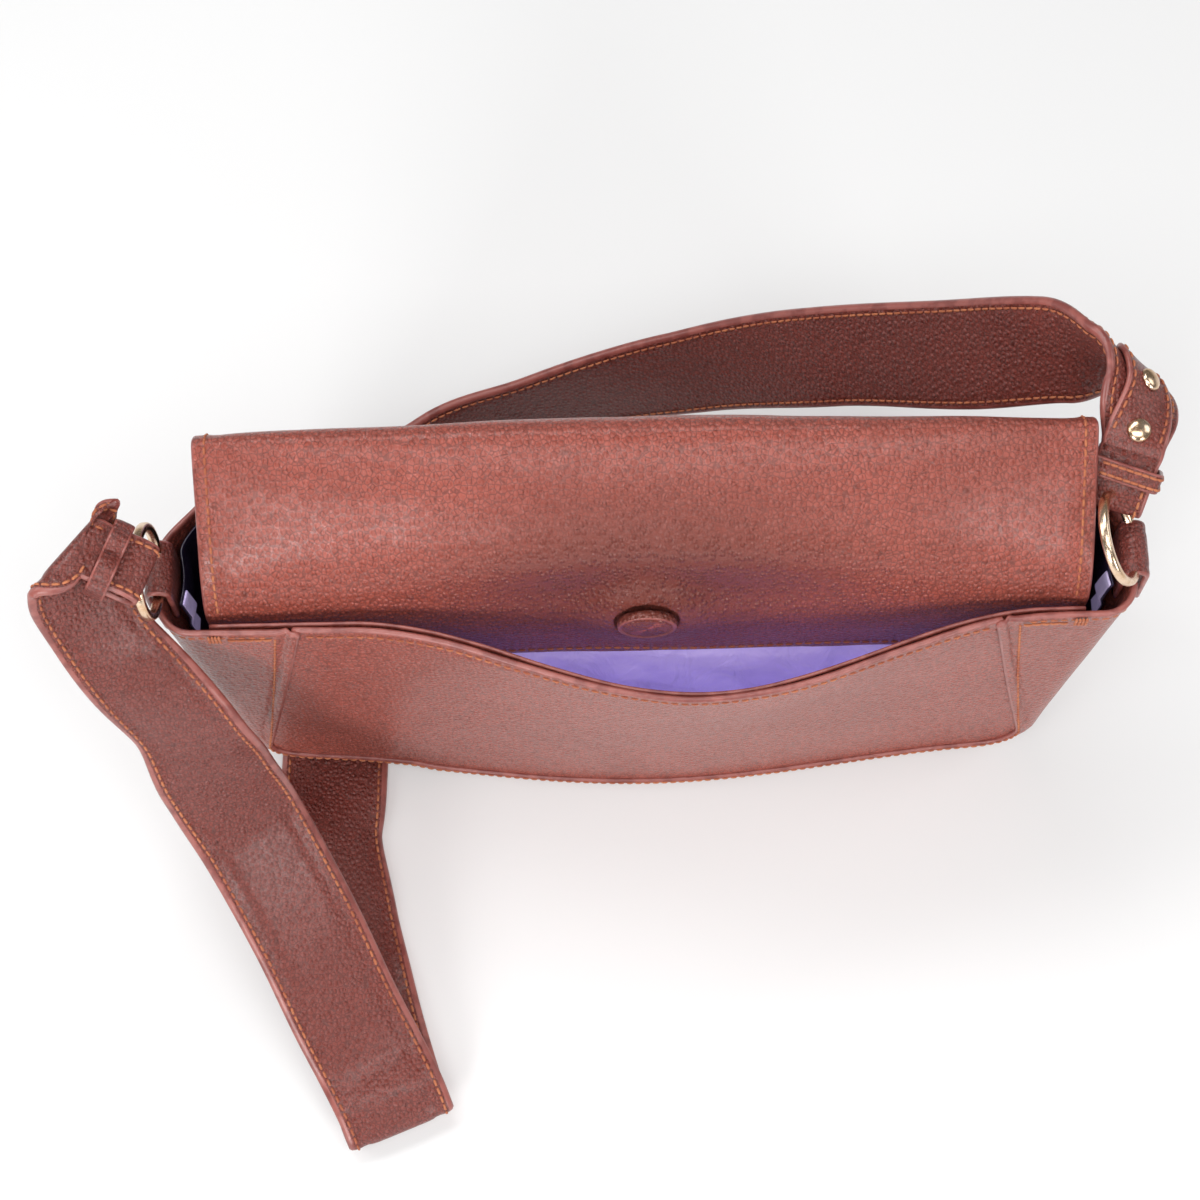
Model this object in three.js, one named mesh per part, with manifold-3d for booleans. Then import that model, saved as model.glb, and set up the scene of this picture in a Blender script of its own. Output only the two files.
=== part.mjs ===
// A crossbody purse: a soft leather body with a rear slip pocket, a flap that folds over to the front,
// and a long shoulder strap held by two rings. Millimetres, +Z up, -Y is the pocket side.
// The origin is the middle of the base's underside.
import * as THREE from "three";
import { mergeVertices } from "three/addons/utils/BufferGeometryUtils.js";
import Module from "manifold-3d";

const wasm = await Module();
wasm.setup();

// ---- driving dimensions ----
const GAP = 0.35; // clearance between touching pieces
const LEATHER = 2.2; // panel leather with its backing
const CLOTH = 0.8; // lining satin
const FACING = 1.4; // the leather strip inside a rim

const RIM_HEIGHT = 160; // height of the pocket's rim at its ends
const RIM_DIP = 6; // how far the rim sags at its middle
const HALF_WIDTH_RIM = 167;
const HALF_WIDTH_BASE = 152;
const BASE_CORNER = 26; // radius of the bag's lower corners, seen from the pocket side
const NEAR_BASE = 36; // from the centre plane to the pocket side, at the base's ends
const NEAR_RIM = 38; // the same at the rim's ends
const BELLY_BASE = 13; // how far the pocket panel swells at the base's middle
const POCKET_GAPE = 27; // how far the pocket's mouth hangs open
const GAPE_CENTRE = 18;
const GAPE_HALF = 120;
const FAR_BASE = 32; // from the centre plane to the front side
const FAR_RIM = 21;
const FAR_BELLY = 3;
const CORNER_RIM = 12; // rounding of the body's upright corners at the rim and at the base
const CORNER_BASE = 8;
const EAR_RIM = 48; // how far the gusset laps over the pocket side at the rim
const EAR_BASE = 9; // the same at the base
const PINCH = { depth: 17, from: -8, to: 18 }; // the sides fold in towards the front at the rim
const FRONT_TOP = 172; // height of the front panel's top edge
const STRAP_TUNNEL = { centre: -120, half: 28, ramp: 12, height: 4.6 }; // hollow for the strap under the base

const WALL_HALF = 149.5; // half width of the back wall and flap
const POCKET_SEAM = 112; // height where the back wall's leather meets the pocket lining
const HINGE = { y: 21, z: 190 }; // the flap's fold line, on its outer face
const FLAP_DROP = 78; // height of the flap's lower edge
const FLAP_CORNER = 32;

const BOARD = { half: 118, near: -24, far: 22, thickness: 2 };
const BOARD_BOTTOM = LEATHER + STRAP_TUNNEL.height + GAP;
const FLOOR = BOARD_BOTTOM + BOARD.thickness + GAP; // height of the main lining's underside

const STRAP_WIDTH = 42;
const STRAP_THICKNESS = 3.8;
const TONGUE_WIDTH = 21;
const TONGUE_THICKNESS = 2.2;
const RING = { radius: 15, wire: 1.9 };
const RING_BAR = { x: 165.5, z: 166 }; // where each ring passes through its tab
const TAB = { width: 20, thickness: 2, outerLeg: 19, innerLeg: 19, inside: 2.6 }; // inside: its fold's radius
const SWING = [-7, -3, 0, 4, 8, 11]; // degrees through which each ring swings; the tabs leave room for it
const LOOP = 3.6; // from the ring's wire to the middle of the tongue around it
const EXIT = { length: 3.6, width: 27, thickness: 2.6 }; // where the strap leaves its tongue and widens
const LEFT_END = { length: 13.4, keeper: 5.9 }; // how long the tongue is, and where its keeper starts
const RIGHT_END = { length: 15, keeper: 5.5 };
const KEEPER = { length: 7, wall: 1.5 };
const STUD = { head: 4, lip: 0.7, post: 1.5, hole: 1.9, dome: 2.2, plate: 0.9, plateRadius: 3.4 };
const MAGNET = { radius: 8.2, thickness: 1.5, height: 148 };
const CUP = { radius: 10.4, roof: 0.9, lip: 1.6, lipWidth: 2.2 }; // the leather cup over the wall's magnet
const PANEL_MAGNET = { radius: 7, thickness: 1.1, height: 122 };
const SNAP = { radius: 9, thickness: 1.7, nub: 3, floor: 0.6, height: 104 };
const TACK = { wide: 1.6, high: 5, deep: 1, fromEdge: 4 };

// ---- materials ----
const leather = new THREE.MeshStandardMaterial({ color: 0x9c5047, roughness: 0.55, metalness: 0 });
const strapLeather = new THREE.MeshStandardMaterial({ color: 0x8a4038, roughness: 0.55, metalness: 0 });
const satin = new THREE.MeshStandardMaterial({ color: 0x5a45b0, roughness: 0.4, metalness: 0 });
const goldMetal = new THREE.MeshStandardMaterial({ color: 0xd9b98c, roughness: 0.2, metalness: 1 });
const magnetSteel = new THREE.MeshStandardMaterial({ color: 0x9a9a9e, roughness: 0.35, metalness: 1 });
const board = new THREE.MeshStandardMaterial({ color: 0x2a2626, roughness: 0.8, metalness: 0 });
const thread = new THREE.MeshStandardMaterial({ color: 0xb06a48, roughness: 0.8, metalness: 0 });

// ---- small maths ----
const vec = (x, y, z) => new THREE.Vector3(x, y, z);
const mix = THREE.MathUtils.lerp;
const smooth = (x, low, high) => THREE.MathUtils.smoothstep(x, low, high);
const hump = (x, centre, half) =>
  Math.abs(x - centre) < half ? Math.cos(((x - centre) / half) * (Math.PI / 2)) ** 2 : 0;

// ---- the bag's outer shape ----
// Half width of the bag at height z, before its lower corners are rounded.
const flare = (z) => mix(HALF_WIDTH_BASE, HALF_WIDTH_RIM, (z / RIM_HEIGHT) ** 1.2);

// Outer face of the pocket side and of the front side.
function nearFace(x, z) {
  const up = THREE.MathUtils.clamp(z / RIM_HEIGHT, 0, 1.1);
  const ends = mix(NEAR_BASE, NEAR_RIM, up);
  const belly = BELLY_BASE * hump(x, 0, HALF_WIDTH_BASE) * (1 - up);
  const gape = POCKET_GAPE * hump(x, GAPE_CENTRE, GAPE_HALF) * up ** 1.4;
  return -(ends + belly + gape);
}
function farFace(x, z) {
  return mix(FAR_BASE, FAR_RIM, (z / RIM_HEIGHT) ** 2) + FAR_BELLY * hump(x, 0, HALF_WIDTH_BASE);
}
const rimHeight = (x) => RIM_HEIGHT - RIM_DIP * hump(x, GAPE_CENTRE, GAPE_HALF);

// The body's own shaping: the base leather is lifted where the strap passes beneath it, and the sides
// fold in towards the front at the rim.
function shaped(point) {
  const { centre, half, ramp, height } = STRAP_TUNNEL;
  const beside = smooth(Math.abs(point.x - centre), half, half + ramp);
  point.z += height * (1 - beside) * (1 - smooth(point.z, 0, BASE_CORNER));
  const fold = (point.z / RIM_HEIGHT) ** 2 * smooth(point.y, PINCH.from, PINCH.to);
  point.x *= 1 - (PINCH.depth / HALF_WIDTH_RIM) * fold;
  return point;
}

// How far the gusset laps round onto the pocket side at height z.
function earLap(z) {
  return mix(EAR_BASE, EAR_RIM, THREE.MathUtils.clamp((z - BASE_CORNER) / (RIM_HEIGHT - BASE_CORNER), 0, 1));
}

// Half width of a piece that stays a given margin inside the outline.
function insetHalf(z, margin) {
  if (z >= BASE_CORNER) return flare(z) - margin;
  const radius = BASE_CORNER - margin;
  return flare(z) - BASE_CORNER + Math.sqrt(Math.max(radius ** 2 - (BASE_CORNER - z) ** 2, 0));
}

// Outline of the bag from the left rim, down, along the base and up to the right rim, for s in 0..1.
function outline(s) {
  const side = RIM_HEIGHT - BASE_CORNER;
  const bend = (BASE_CORNER * Math.PI) / 2;
  const flat = HALF_WIDTH_BASE - BASE_CORNER;
  const total = 2 * side + 2 * bend + 2 * flat;
  const mirrored = s > 0.5;
  let run = (mirrored ? 1 - s : s) * total;
  const sign = mirrored ? 1 : -1;
  if (run < side) {
    const z = RIM_HEIGHT - run;
    return { x: sign * flare(z), z, inward: vec(-sign, 0, 0) };
  }
  run -= side;
  const bottomWidth = flare(BASE_CORNER);
  if (run < bend) {
    const angle = run / BASE_CORNER;
    const x = sign * (bottomWidth - BASE_CORNER * (1 - Math.cos(angle)));
    const z = BASE_CORNER * (1 - Math.sin(angle));
    return { x, z, inward: vec(-sign * Math.cos(angle), 0, Math.sin(angle)) };
  }
  run -= bend;
  const x = sign * (bottomWidth - BASE_CORNER) * (1 - run / flat);
  return { x, z: 0, inward: vec(0, 0, 1) };
}

// ---- solids from grids ----
// A closed sheet: a grid of points moved in by the inset, the same grid moved in by the thickness as well,
// and the strips that join their four edges.
function sheet(outer, columns, rows, thickness, inset = 0) {
  const at = (grid, i, j) => grid[i * (rows + 1) + j];
  const face = [];
  for (let i = 0; i <= columns; i++) {
    for (let j = 0; j <= rows; j++) face.push(outer(i / columns, j / rows));
  }
  const movedIn = (distance) =>
    face.map((point, k) => {
      const i = Math.floor(k / (rows + 1));
      const j = k % (rows + 1);
      const along = at(face, Math.min(i + 1, columns), j).clone().sub(at(face, Math.max(i - 1, 0), j));
      const across = at(face, i, Math.min(j + 1, rows)).clone().sub(at(face, i, Math.max(j - 1, 0)));
      return point.clone().addScaledVector(along.cross(across).normalize(), -distance);
    });
  const top = movedIn(inset);
  const inner = movedIn(inset + thickness);
  const points = top.concat(inner);
  const under = top.length;
  const index = [];
  const quad = (a, b, c, d) => index.push(a, b, c, a, c, d);
  const id = (i, j) => i * (rows + 1) + j;
  for (let i = 0; i < columns; i++) {
    for (let j = 0; j < rows; j++) {
      quad(id(i, j), id(i + 1, j), id(i + 1, j + 1), id(i, j + 1));
      quad(under + id(i, j), under + id(i, j + 1), under + id(i + 1, j + 1), under + id(i + 1, j));
    }
    quad(id(i, 0), under + id(i, 0), under + id(i + 1, 0), id(i + 1, 0));
    quad(id(i, rows), id(i + 1, rows), under + id(i + 1, rows), under + id(i, rows));
  }
  for (let j = 0; j < rows; j++) {
    quad(id(0, j), id(0, j + 1), under + id(0, j + 1), under + id(0, j));
    quad(id(columns, j), under + id(columns, j), under + id(columns, j + 1), id(columns, j + 1));
  }
  return geometryOf(points, index);
}

function geometryOf(points, index) {
  const geometry = new THREE.BufferGeometry().setFromPoints(points);
  geometry.setIndex(index);
  geometry.computeVertexNormals();
  return geometry;
}

// A strap swept through stations of {centre, across, width, thickness}; its cross-section is a rectangle.
const STEPS_PER_STATION = 5;
function sectionAt(stations, at) {
  const path = new THREE.CatmullRomCurve3(stations.map((s) => s.centre), false, "centripetal");
  const place = at * (stations.length - 1);
  const from = Math.min(Math.floor(place), stations.length - 2);
  const share = smooth(place - from, 0, 1);
  const tangent = path.getTangent(at);
  const across = stations[from].across.clone().lerp(stations[from + 1].across, share);
  across.addScaledVector(tangent, -across.dot(tangent)).normalize();
  return {
    centre: path.getPoint(at),
    across,
    face: tangent.clone().cross(across),
    width: mix(stations[from].width, stations[from + 1].width, share),
    thickness: mix(stations[from].thickness, stations[from + 1].thickness, share),
  };
}
function ribbon(stations) {
  const steps = STEPS_PER_STATION * (stations.length - 1);
  const points = [];
  for (let k = 0; k <= steps; k++) {
    const { centre, across, face, width, thickness } = sectionAt(stations, k / steps);
    for (const [w, t] of [[-1, -1], [1, -1], [1, 1], [-1, 1]]) {
      const corner = centre.clone().addScaledVector(across, (w * width) / 2);
      points.push(corner.addScaledVector(face, (t * thickness) / 2));
    }
  }
  const index = [0, 2, 1, 0, 3, 2];
  for (let k = 0; k < steps; k++) {
    for (let c = 0; c < 4; c++) {
      const a = 4 * k + c;
      const b = 4 * k + ((c + 1) % 4);
      index.push(a, b, b + 4, a, b + 4, a + 4);
    }
  }
  const last = 4 * steps;
  index.push(last, last + 1, last + 2, last, last + 2, last + 3);
  return geometryOf(points, index);
}

function solidOf(geometry, matrix) {
  const bare = geometry.clone();
  bare.deleteAttribute("normal");
  if (bare.getAttribute("uv")) bare.deleteAttribute("uv");
  if (matrix) bare.applyMatrix4(matrix);
  const merged = mergeVertices(bare, 1e-4);
  return new wasm.Manifold(
    new wasm.Mesh({
      numProp: 3,
      vertProperties: new Float32Array(merged.attributes.position.array),
      triVerts: new Uint32Array(merged.index.array),
    }),
  );
}
function geometryFrom(solid) {
  const made = solid.getMesh();
  const geometry = new THREE.BufferGeometry();
  geometry.setAttribute("position", new THREE.BufferAttribute(made.vertProperties, 3));
  geometry.setIndex(new THREE.BufferAttribute(made.triVerts, 1));
  return geometry;
}

const purse = new THREE.Group();
function add(name, geometry, material, place = new THREE.Matrix4()) {
  const mesh = new THREE.Mesh(geometry, material);
  mesh.name = name;
  mesh.applyMatrix4(place);
  purse.add(mesh);
  return mesh;
}

// ---- gusset: one strip down the left side, along the base and up the right side ----
// Across the strip: lap on the pocket side, round corner, side, round corner, lap on the front.
const LAP_SHARE = 0.22;
const CORNER_SHARE = 0.18;
const FRONT_LAP = 5;
function gussetSection(s, t) {
  const { x, z, inward } = outline(s);
  const up = z / RIM_HEIGHT;
  const corner = mix(CORNER_BASE, CORNER_RIM, up);
  const place = (depth, face, step) => {
    const px = x + inward.x * depth;
    const pz = z + inward.z * depth;
    return vec(px, face(px, pz) + step, pz);
  };
  const rounded = (turn, face, side) =>
    place(corner * (1 - Math.sin(turn)), face, side * corner * (1 - Math.cos(turn)));
  const quarter = Math.PI / 2;
  if (t < LAP_SHARE) return place(mix(earLap(z), corner, t / LAP_SHARE), nearFace, 0);
  const afterLap = (t - LAP_SHARE) / CORNER_SHARE;
  if (afterLap < 1) return rounded(afterLap * quarter, nearFace, 1);
  const fromFar = (1 - t) / CORNER_SHARE;
  if (fromFar < 0.5) return place(mix(corner + FRONT_LAP, corner, fromFar * 2), farFace, 0);
  if (fromFar < 1.5) return rounded((fromFar - 0.5) * quarter, farFace, -1);
  const low = LAP_SHARE + CORNER_SHARE;
  const high = 1 - 1.5 * CORNER_SHARE;
  return rounded(quarter, nearFace, 1).lerp(rounded(quarter, farFace, -1), (t - low) / (high - low));
}
add("gusset", sheet((u, v) => shaped(gussetSection(u, 1 - v)), 34, 18, LEATHER), leather);

// ---- panels, facings and linings that follow the two big faces ----
// A sheet on the pocket side, a given step behind the outer face.
function nearSheet(step, half, low, high, thickness, columns, rows) {
  const surface = (u, v) => {
    const reach = half(mix(low, RIM_HEIGHT, v));
    const x = mix(-reach, reach, u);
    const z = mix(low, high(x), v);
    return shaped(vec(x, nearFace(x, z) + step, z));
  };
  return sheet(surface, columns, rows, thickness);
}
// A sheet on the front side, a given step inside the outer face.
function farSheet(step, half, low, high, thickness, columns, rows) {
  const surface = (u, v) => {
    const z = mix(low, high, v);
    const reach = half(z);
    const x = mix(reach, -reach, u);
    return shaped(vec(x, farFace(x, z) - step, z));
  };
  return sheet(surface, columns, rows, thickness);
}
const behindPanel = LEATHER + GAP;
const behindFacing = behindPanel + FACING + GAP;
const pocketHalf = (z) => Math.min(insetHalf(z, 10), WALL_HALF - 1);
const rimBelow = (depth) => (x) => rimHeight(x) - depth;
const rearEdge = (z) => insetHalf(z, earLap(z) + 2 * GAP);
const FACING_DEPTH = 20;
const FACING_HALF = WALL_HALF - 1;
const LINING_BELOW_RIM = 14; // the pocket lining starts behind the facing
add("rear_panel", nearSheet(0, rearEdge, EAR_BASE + 2 * GAP, rimBelow(0), LEATHER, 20, 12), leather);
add(
  "rear_rim_facing",
  sheet(
    (u, v) => {
      const x = mix(-FACING_HALF, FACING_HALF, u);
      const z = rimHeight(x) - 1 - (1 - v) * FACING_DEPTH;
      return vec(x, nearFace(x, z) + behindPanel, z);
    },
    24, 2, FACING,
  ),
  leather,
);
const pocketTop = rimBelow(LINING_BELOW_RIM);
add("pocket_lining_panel", nearSheet(behindFacing, pocketHalf, FLOOR, pocketTop, CLOTH, 20, 8), satin);

const frontLap = CORNER_RIM + FRONT_LAP;
const frontHalf = (z) => insetHalf(z, mix(CORNER_BASE + FRONT_LAP, frontLap, z / RIM_HEIGHT) + GAP);
const FRONT_LOW = CORNER_BASE + FRONT_LAP + 2 * GAP;
const liningHalf = (z) => insetHalf(z, 14);
add("front_panel", farSheet(0, frontHalf, FRONT_LOW, FRONT_TOP, LEATHER, 14, 8), leather);
add("main_lining_front", farSheet(behindPanel, liningHalf, FLOOR, FRONT_TOP - 2, CLOTH, 14, 8), satin);

// ---- back wall: the leather behind the pocket, which rises, bends over the ridge and meets the flap ----
// Its course from the pocket's seam to the fold line, at its ends and, a little fuller, at its middle.
const WALL_FACE = -29.4;
const wallCourse = (bends) => {
  const course = [[WALL_FACE, POCKET_SEAM], ...bends, [HINGE.y, HINGE.z]];
  return new THREE.SplineCurve(course.map(([y, z]) => new THREE.Vector2(y, z)));
};
const wallEnd = wallCourse(
  [[-31, 148], [-30, 161], [-21, 174], [-5, 187], [9, 198], [15, 201], [19, 197]],
);
const wallMiddle = wallCourse(
  [[-31, 140], [-28, 162], [-20, 182], [-6, 198], [8, 207], [16, 207], [20, 200]],
);
function wallPoint(x, along) {
  const crown = 1 - Math.abs(x / WALL_HALF) ** 3; // how much of the middle's course
  const place = wallEnd.getPoint(along).lerp(wallMiddle.getPoint(along), crown);
  return vec(x, place.x, place.y);
}
add("back_wall", sheet((u, v) => wallPoint(mix(-WALL_HALF, WALL_HALF, u), v), 12, 20, LEATHER), leather);

// The satin that carries on below the back wall's leather to the bottom of the pocket.
add(
  "pocket_lining_wall",
  sheet(
    (u, v) => {
      const z = mix(FLOOR, POCKET_SEAM - 2 * GAP, v);
      const half = pocketHalf(z);
      return vec(mix(-half, half, u), WALL_FACE, z);
    },
    8, 6, CLOTH,
  ),
  satin,
);
const MAIN_REAR = -26.7;
const mainRear = (u, v) => {
  const z = mix(FLOOR, RIM_HEIGHT - 6, v);
  const half = Math.min(liningHalf(z), WALL_HALF - 4);
  return vec(mix(-half, half, u), MAIN_REAR, z);
};
add("main_lining_rear", sheet(mainRear, 8, 6, CLOTH), satin);

// The lining's own gusset: a strip inside the leather one.
const LINING_NEAR = MAIN_REAR + CLOTH + 2 * GAP;
const LINING_TOP = 136;
const LINING_START = 0.055; // the lining's gusset leaves out this share of the outline at each end
const mainGusset = (u, v) => {
  const s = mix(LINING_START, 1 - LINING_START, u);
  const { x, z, inward } = outline(s);
  const depth = mix(FLOOR, LEATHER + 5 * GAP, smooth(z, 0, BASE_CORNER));
  const px = x + inward.x * depth;
  const pz = Math.min(z + inward.z * depth, LINING_TOP);
  const far = farFace(px, pz) - CORNER_RIM;
  return shaped(vec(px, mix(far, LINING_NEAR, v), pz));
};
add("main_lining_gusset", sheet(mainGusset, 30, 6, CLOTH), satin);

const boardSize = [2 * BOARD.half, BOARD.far - BOARD.near, BOARD.thickness];
add("base_board", new THREE.BoxGeometry(...boardSize), board).position.set(
  0, (BOARD.far + BOARD.near) / 2, BOARD_BOTTOM + BOARD.thickness / 2,
);

// ---- flap: hangs in front from the fold line ----
const FLAP_OUT = 18.5; // how far the flap stands out below its fold
const FLAP_SLOPE = 62; // the height over which it comes out
function flapPoint(u, v, margin) {
  const z = mix(HINGE.z - 3 * GAP, FLAP_DROP + margin, v);
  const below = Math.max(FLAP_DROP + FLAP_CORNER - z, 0);
  const radius = FLAP_CORNER - margin;
  const round = radius - Math.sqrt(Math.max(radius ** 2 - Math.min(below, radius) ** 2, 0));
  const half = WALL_HALF - margin - round;
  const out = Math.min((HINGE.z - z) / FLAP_SLOPE, 1);
  const y = HINGE.y + FLAP_OUT * Math.sin((out * Math.PI) / 2);
  return vec(mix(-half, half, u), y, z);
}
const LINING_MARGIN = 1.5;
add("flap", sheet((u, v) => flapPoint(u, v, 0), 10, 16, LEATHER), leather);
const flapInside = (u, v) => flapPoint(u, v, LINING_MARGIN);
add("flap_lining", sheet(flapInside, 10, 12, CLOTH, LEATHER + GAP), satin);

// ---- closures ----
// Turns a lathe's axis, +Y, to a direction and moves it to a place.
function aim(place, direction) {
  const turn = new THREE.Quaternion().setFromUnitVectors(vec(0, 1, 0), direction.clone().normalize());
  return new THREE.Matrix4().compose(place, turn, vec(1, 1, 1));
}
const ROUND = 32;
const lathe = (profile) => new THREE.LatheGeometry(profile.map(([r, h]) => new THREE.Vector2(r, h)), ROUND);
const disc = (radius, thickness) => lathe([[0, 0], [radius, 0], [radius, thickness], [0, thickness]]);
const near = vec(0, -1, 0);

// The covered magnet on the back wall: a steel disc inside a leather cup with a raised rim.
const WALL_AT_MAGNET = -32.2;
const magnetPlace = aim(vec(0, WALL_AT_MAGNET - GAP, MAGNET.height), near);
add("wall_magnet", disc(MAGNET.radius, MAGNET.thickness), magnetSteel, magnetPlace);
const cupDepth = MAGNET.thickness + GAP;
const cupInside = MAGNET.radius + GAP;
const lipInside = CUP.radius - CUP.lipWidth;
const cup = lathe([
  [0, cupDepth], [cupInside, cupDepth], [cupInside, 0], [CUP.radius, 0],
  [CUP.radius, cupDepth + CUP.lip / 2], [mix(CUP.radius, lipInside, 0.3), cupDepth + CUP.lip],
  [mix(CUP.radius, lipInside, 0.7), cupDepth + CUP.lip],
  [lipInside, cupDepth + CUP.roof], [0, cupDepth + CUP.roof],
]);
add("magnet_cover", cup, leather, magnetPlace);

// Its partner lies between the pocket panel and its lining, below the facing, square to the panel.
const magnetX = GAPE_CENTRE;
const magnetZ = PANEL_MAGNET.height;
const panelSlope = (nearFace(magnetX, magnetZ + 1) - nearFace(magnetX, magnetZ - 1)) / 2;
const panelAtMagnet = nearFace(magnetX, magnetZ) + behindPanel;
add("panel_magnet", disc(PANEL_MAGNET.radius, PANEL_MAGNET.thickness), magnetSteel,
  aim(vec(magnetX, panelAtMagnet, magnetZ), vec(0, 1, -panelSlope)));

// The flap's magnetic snap: a socket on the front panel and a plate with a nub inside the flap.
const frontAtSnap = farFace(0, SNAP.height) + 2 * GAP;
const frontSlope = (farFace(0, SNAP.height + 1) - farFace(0, SNAP.height - 1)) / 2;
const snapRim = [[0, 0], [SNAP.radius, 0], [SNAP.radius, SNAP.thickness]];
const socketHole = SNAP.nub + GAP;
const socket = [...snapRim, [socketHole, SNAP.thickness], [socketHole, SNAP.floor], [0, SNAP.floor]];
add("snap_socket", lathe(socket), goldMetal, aim(vec(0, frontAtSnap, SNAP.height), vec(0, 1, -frontSlope)));
const flapAtSnap = HINGE.y + FLAP_OUT - LEATHER - CLOTH - 3 * GAP;
const nubTop = 1.5 * SNAP.thickness;
add("snap_plate", lathe([...snapRim, [SNAP.nub, SNAP.thickness], [SNAP.nub, nubTop], [0, nubTop]]),
  goldMetal, aim(vec(0, flapAtSnap, SNAP.height), near));

// ---- rings and tabs ----
const LEFT_RING_LEAN = vec(-0.09, -0.35, 0.93).normalize();
const leftBar = vec(-RING_BAR.x, -17, RING_BAR.z);
const leftCentre = leftBar.clone().addScaledVector(LEFT_RING_LEAN, RING.radius);
const RIGHT_RING_LEAN = vec(-0.5, 0, 0.866);
const rightBar = vec(RING_BAR.x, -17, RING_BAR.z);
const rightCentre = rightBar.clone().addScaledVector(RIGHT_RING_LEAN, RING.radius);

// A ring's frame: its plane holds the lean direction and, as nearly as it can, +Y.
function ringFrame(centre, lean) {
  const along = vec(0, 1, 0).addScaledVector(lean, -lean.y).normalize();
  const frame = new THREE.Matrix4().makeBasis(along, lean, along.clone().cross(lean));
  return frame.setPosition(centre);
}
const leftRing = ringFrame(leftCentre, LEFT_RING_LEAN);
const rightRing = ringFrame(rightCentre, RIGHT_RING_LEAN);
const torus = (wire, around) => new THREE.TorusGeometry(RING.radius, wire, 10, around);
add("left_ring", torus(RING.wire, 40), goldMetal, leftRing);
add("right_ring", torus(RING.wire, 40), goldMetal, rightRing);

// A tab: a leather strip folded over the ring, one leg on each side of the gusset's rim.
// Room for the ring's wire, as it swings about the bar, is cut out of it.
function tabGeometry(side, bar, ring) {
  const outer = TAB.inside + TAB.thickness;
  const shape = new THREE.Shape();
  shape.moveTo(outer, -TAB.outerLeg);
  shape.lineTo(outer, 0);
  shape.absarc(0, 0, outer, 0, Math.PI, false);
  shape.lineTo(-outer, -TAB.innerLeg);
  shape.lineTo(-TAB.inside, -TAB.innerLeg);
  shape.lineTo(-TAB.inside, 0);
  shape.absarc(0, 0, TAB.inside, Math.PI, 0, true);
  shape.lineTo(TAB.inside, -TAB.outerLeg);
  const strip = new THREE.ExtrudeGeometry(shape, { depth: TAB.width, bevelEnabled: false, curveSegments: 8 });
  strip.translate(0, 0, -TAB.width / 2);
  strip.rotateX(Math.PI / 2);
  if (side < 0) strip.rotateZ(Math.PI);
  strip.translate(bar.x, bar.y, bar.z);
  const swung = (degrees) => {
    const turn = new THREE.Matrix4().makeRotationY(THREE.MathUtils.degToRad(degrees));
    turn.setPosition(bar.clone().sub(bar.clone().applyMatrix4(turn)));
    return solidOf(torus(RING.wire + GAP, 48), turn.multiply(ring));
  };
  return geometryFrom(SWING.reduce((solid, degrees) => solid.subtract(swung(degrees)), solidOf(strip)));
}
add("left_tab", tabGeometry(-1, leftBar, leftRing), leather);
add("right_tab", tabGeometry(1, rightBar, rightRing), leather);

// ---- strap ends: a narrow tongue round the ring, held by a keeper ----
// The end's frame: out runs away from the ring, across is its width, up is the face's normal.
function strapEnd(ring, grip, out, across, size) {
  const up = across.clone().cross(out);
  const at = (along, rise) => grip.clone().addScaledVector(out, along).addScaledVector(up, rise);
  const station = (along, rise, width, thickness) => ({ centre: at(along, rise), across, width, thickness });
  const path = [
    station(size.length, -LOOP, TONGUE_WIDTH, TONGUE_THICKNESS),
    station(size.length / 2, -LOOP, TONGUE_WIDTH, TONGUE_THICKNESS),
    station(0, -LOOP, TONGUE_WIDTH, TONGUE_THICKNESS),
    station(-LOOP * 0.87, -LOOP * 0.5, TONGUE_WIDTH, TONGUE_THICKNESS),
    station(-LOOP * 0.87, LOOP * 0.5, TONGUE_WIDTH, TONGUE_THICKNESS),
    station(0, LOOP, TONGUE_WIDTH, TONGUE_THICKNESS),
    station(size.length / 2, LOOP, TONGUE_WIDTH, TONGUE_THICKNESS),
    station(size.length, LOOP, TONGUE_WIDTH, TONGUE_THICKNESS),
  ];
  const fatRing = solidOf(torus(RING.wire + GAP, 48), ring);
  const tongue = geometryFrom(solidOf(ribbon(path)).subtract(fatRing));
  const inner = LOOP + TONGUE_THICKNESS / 2 + GAP;
  const halfWide = TONGUE_WIDTH / 2 + GAP;
  const box = (w, h) => {
    const rectangle = new THREE.Shape();
    rectangle.moveTo(-w, -h);
    rectangle.lineTo(w, -h);
    rectangle.lineTo(w, h);
    rectangle.lineTo(-w, h);
    return rectangle;
  };
  const band = box(halfWide + KEEPER.wall, inner + KEEPER.wall);
  band.holes.push(box(halfWide, inner));
  const keeper = new THREE.ExtrudeGeometry(band, { depth: KEEPER.length, bevelEnabled: false });
  const frame = new THREE.Matrix4().makeBasis(across, up.clone().negate(), out);
  frame.setPosition(at(size.keeper, 0));
  const exit = [
    station(size.length + 2 * GAP, LOOP, TONGUE_WIDTH + 2, TONGUE_THICKNESS),
    station(size.length + EXIT.length, LOOP, EXIT.width, EXIT.thickness),
  ];
  return { tongue, keeper, frame, exit };
}

const leftGrip = leftCentre.clone().addScaledVector(LEFT_RING_LEAN, RING.radius);
const leftOut = vec(-0.87, 0.33, 0.3).normalize();
const leftAcross = vec(0.3, 0.95, 0);
leftAcross.addScaledVector(leftOut, -leftAcross.dot(leftOut)).normalize();
const left = strapEnd(leftRing, leftGrip, leftOut, leftAcross, LEFT_END);
add("strap_left_end", left.tongue, strapLeather);
add("left_keeper", left.keeper, strapLeather, left.frame);

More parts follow.
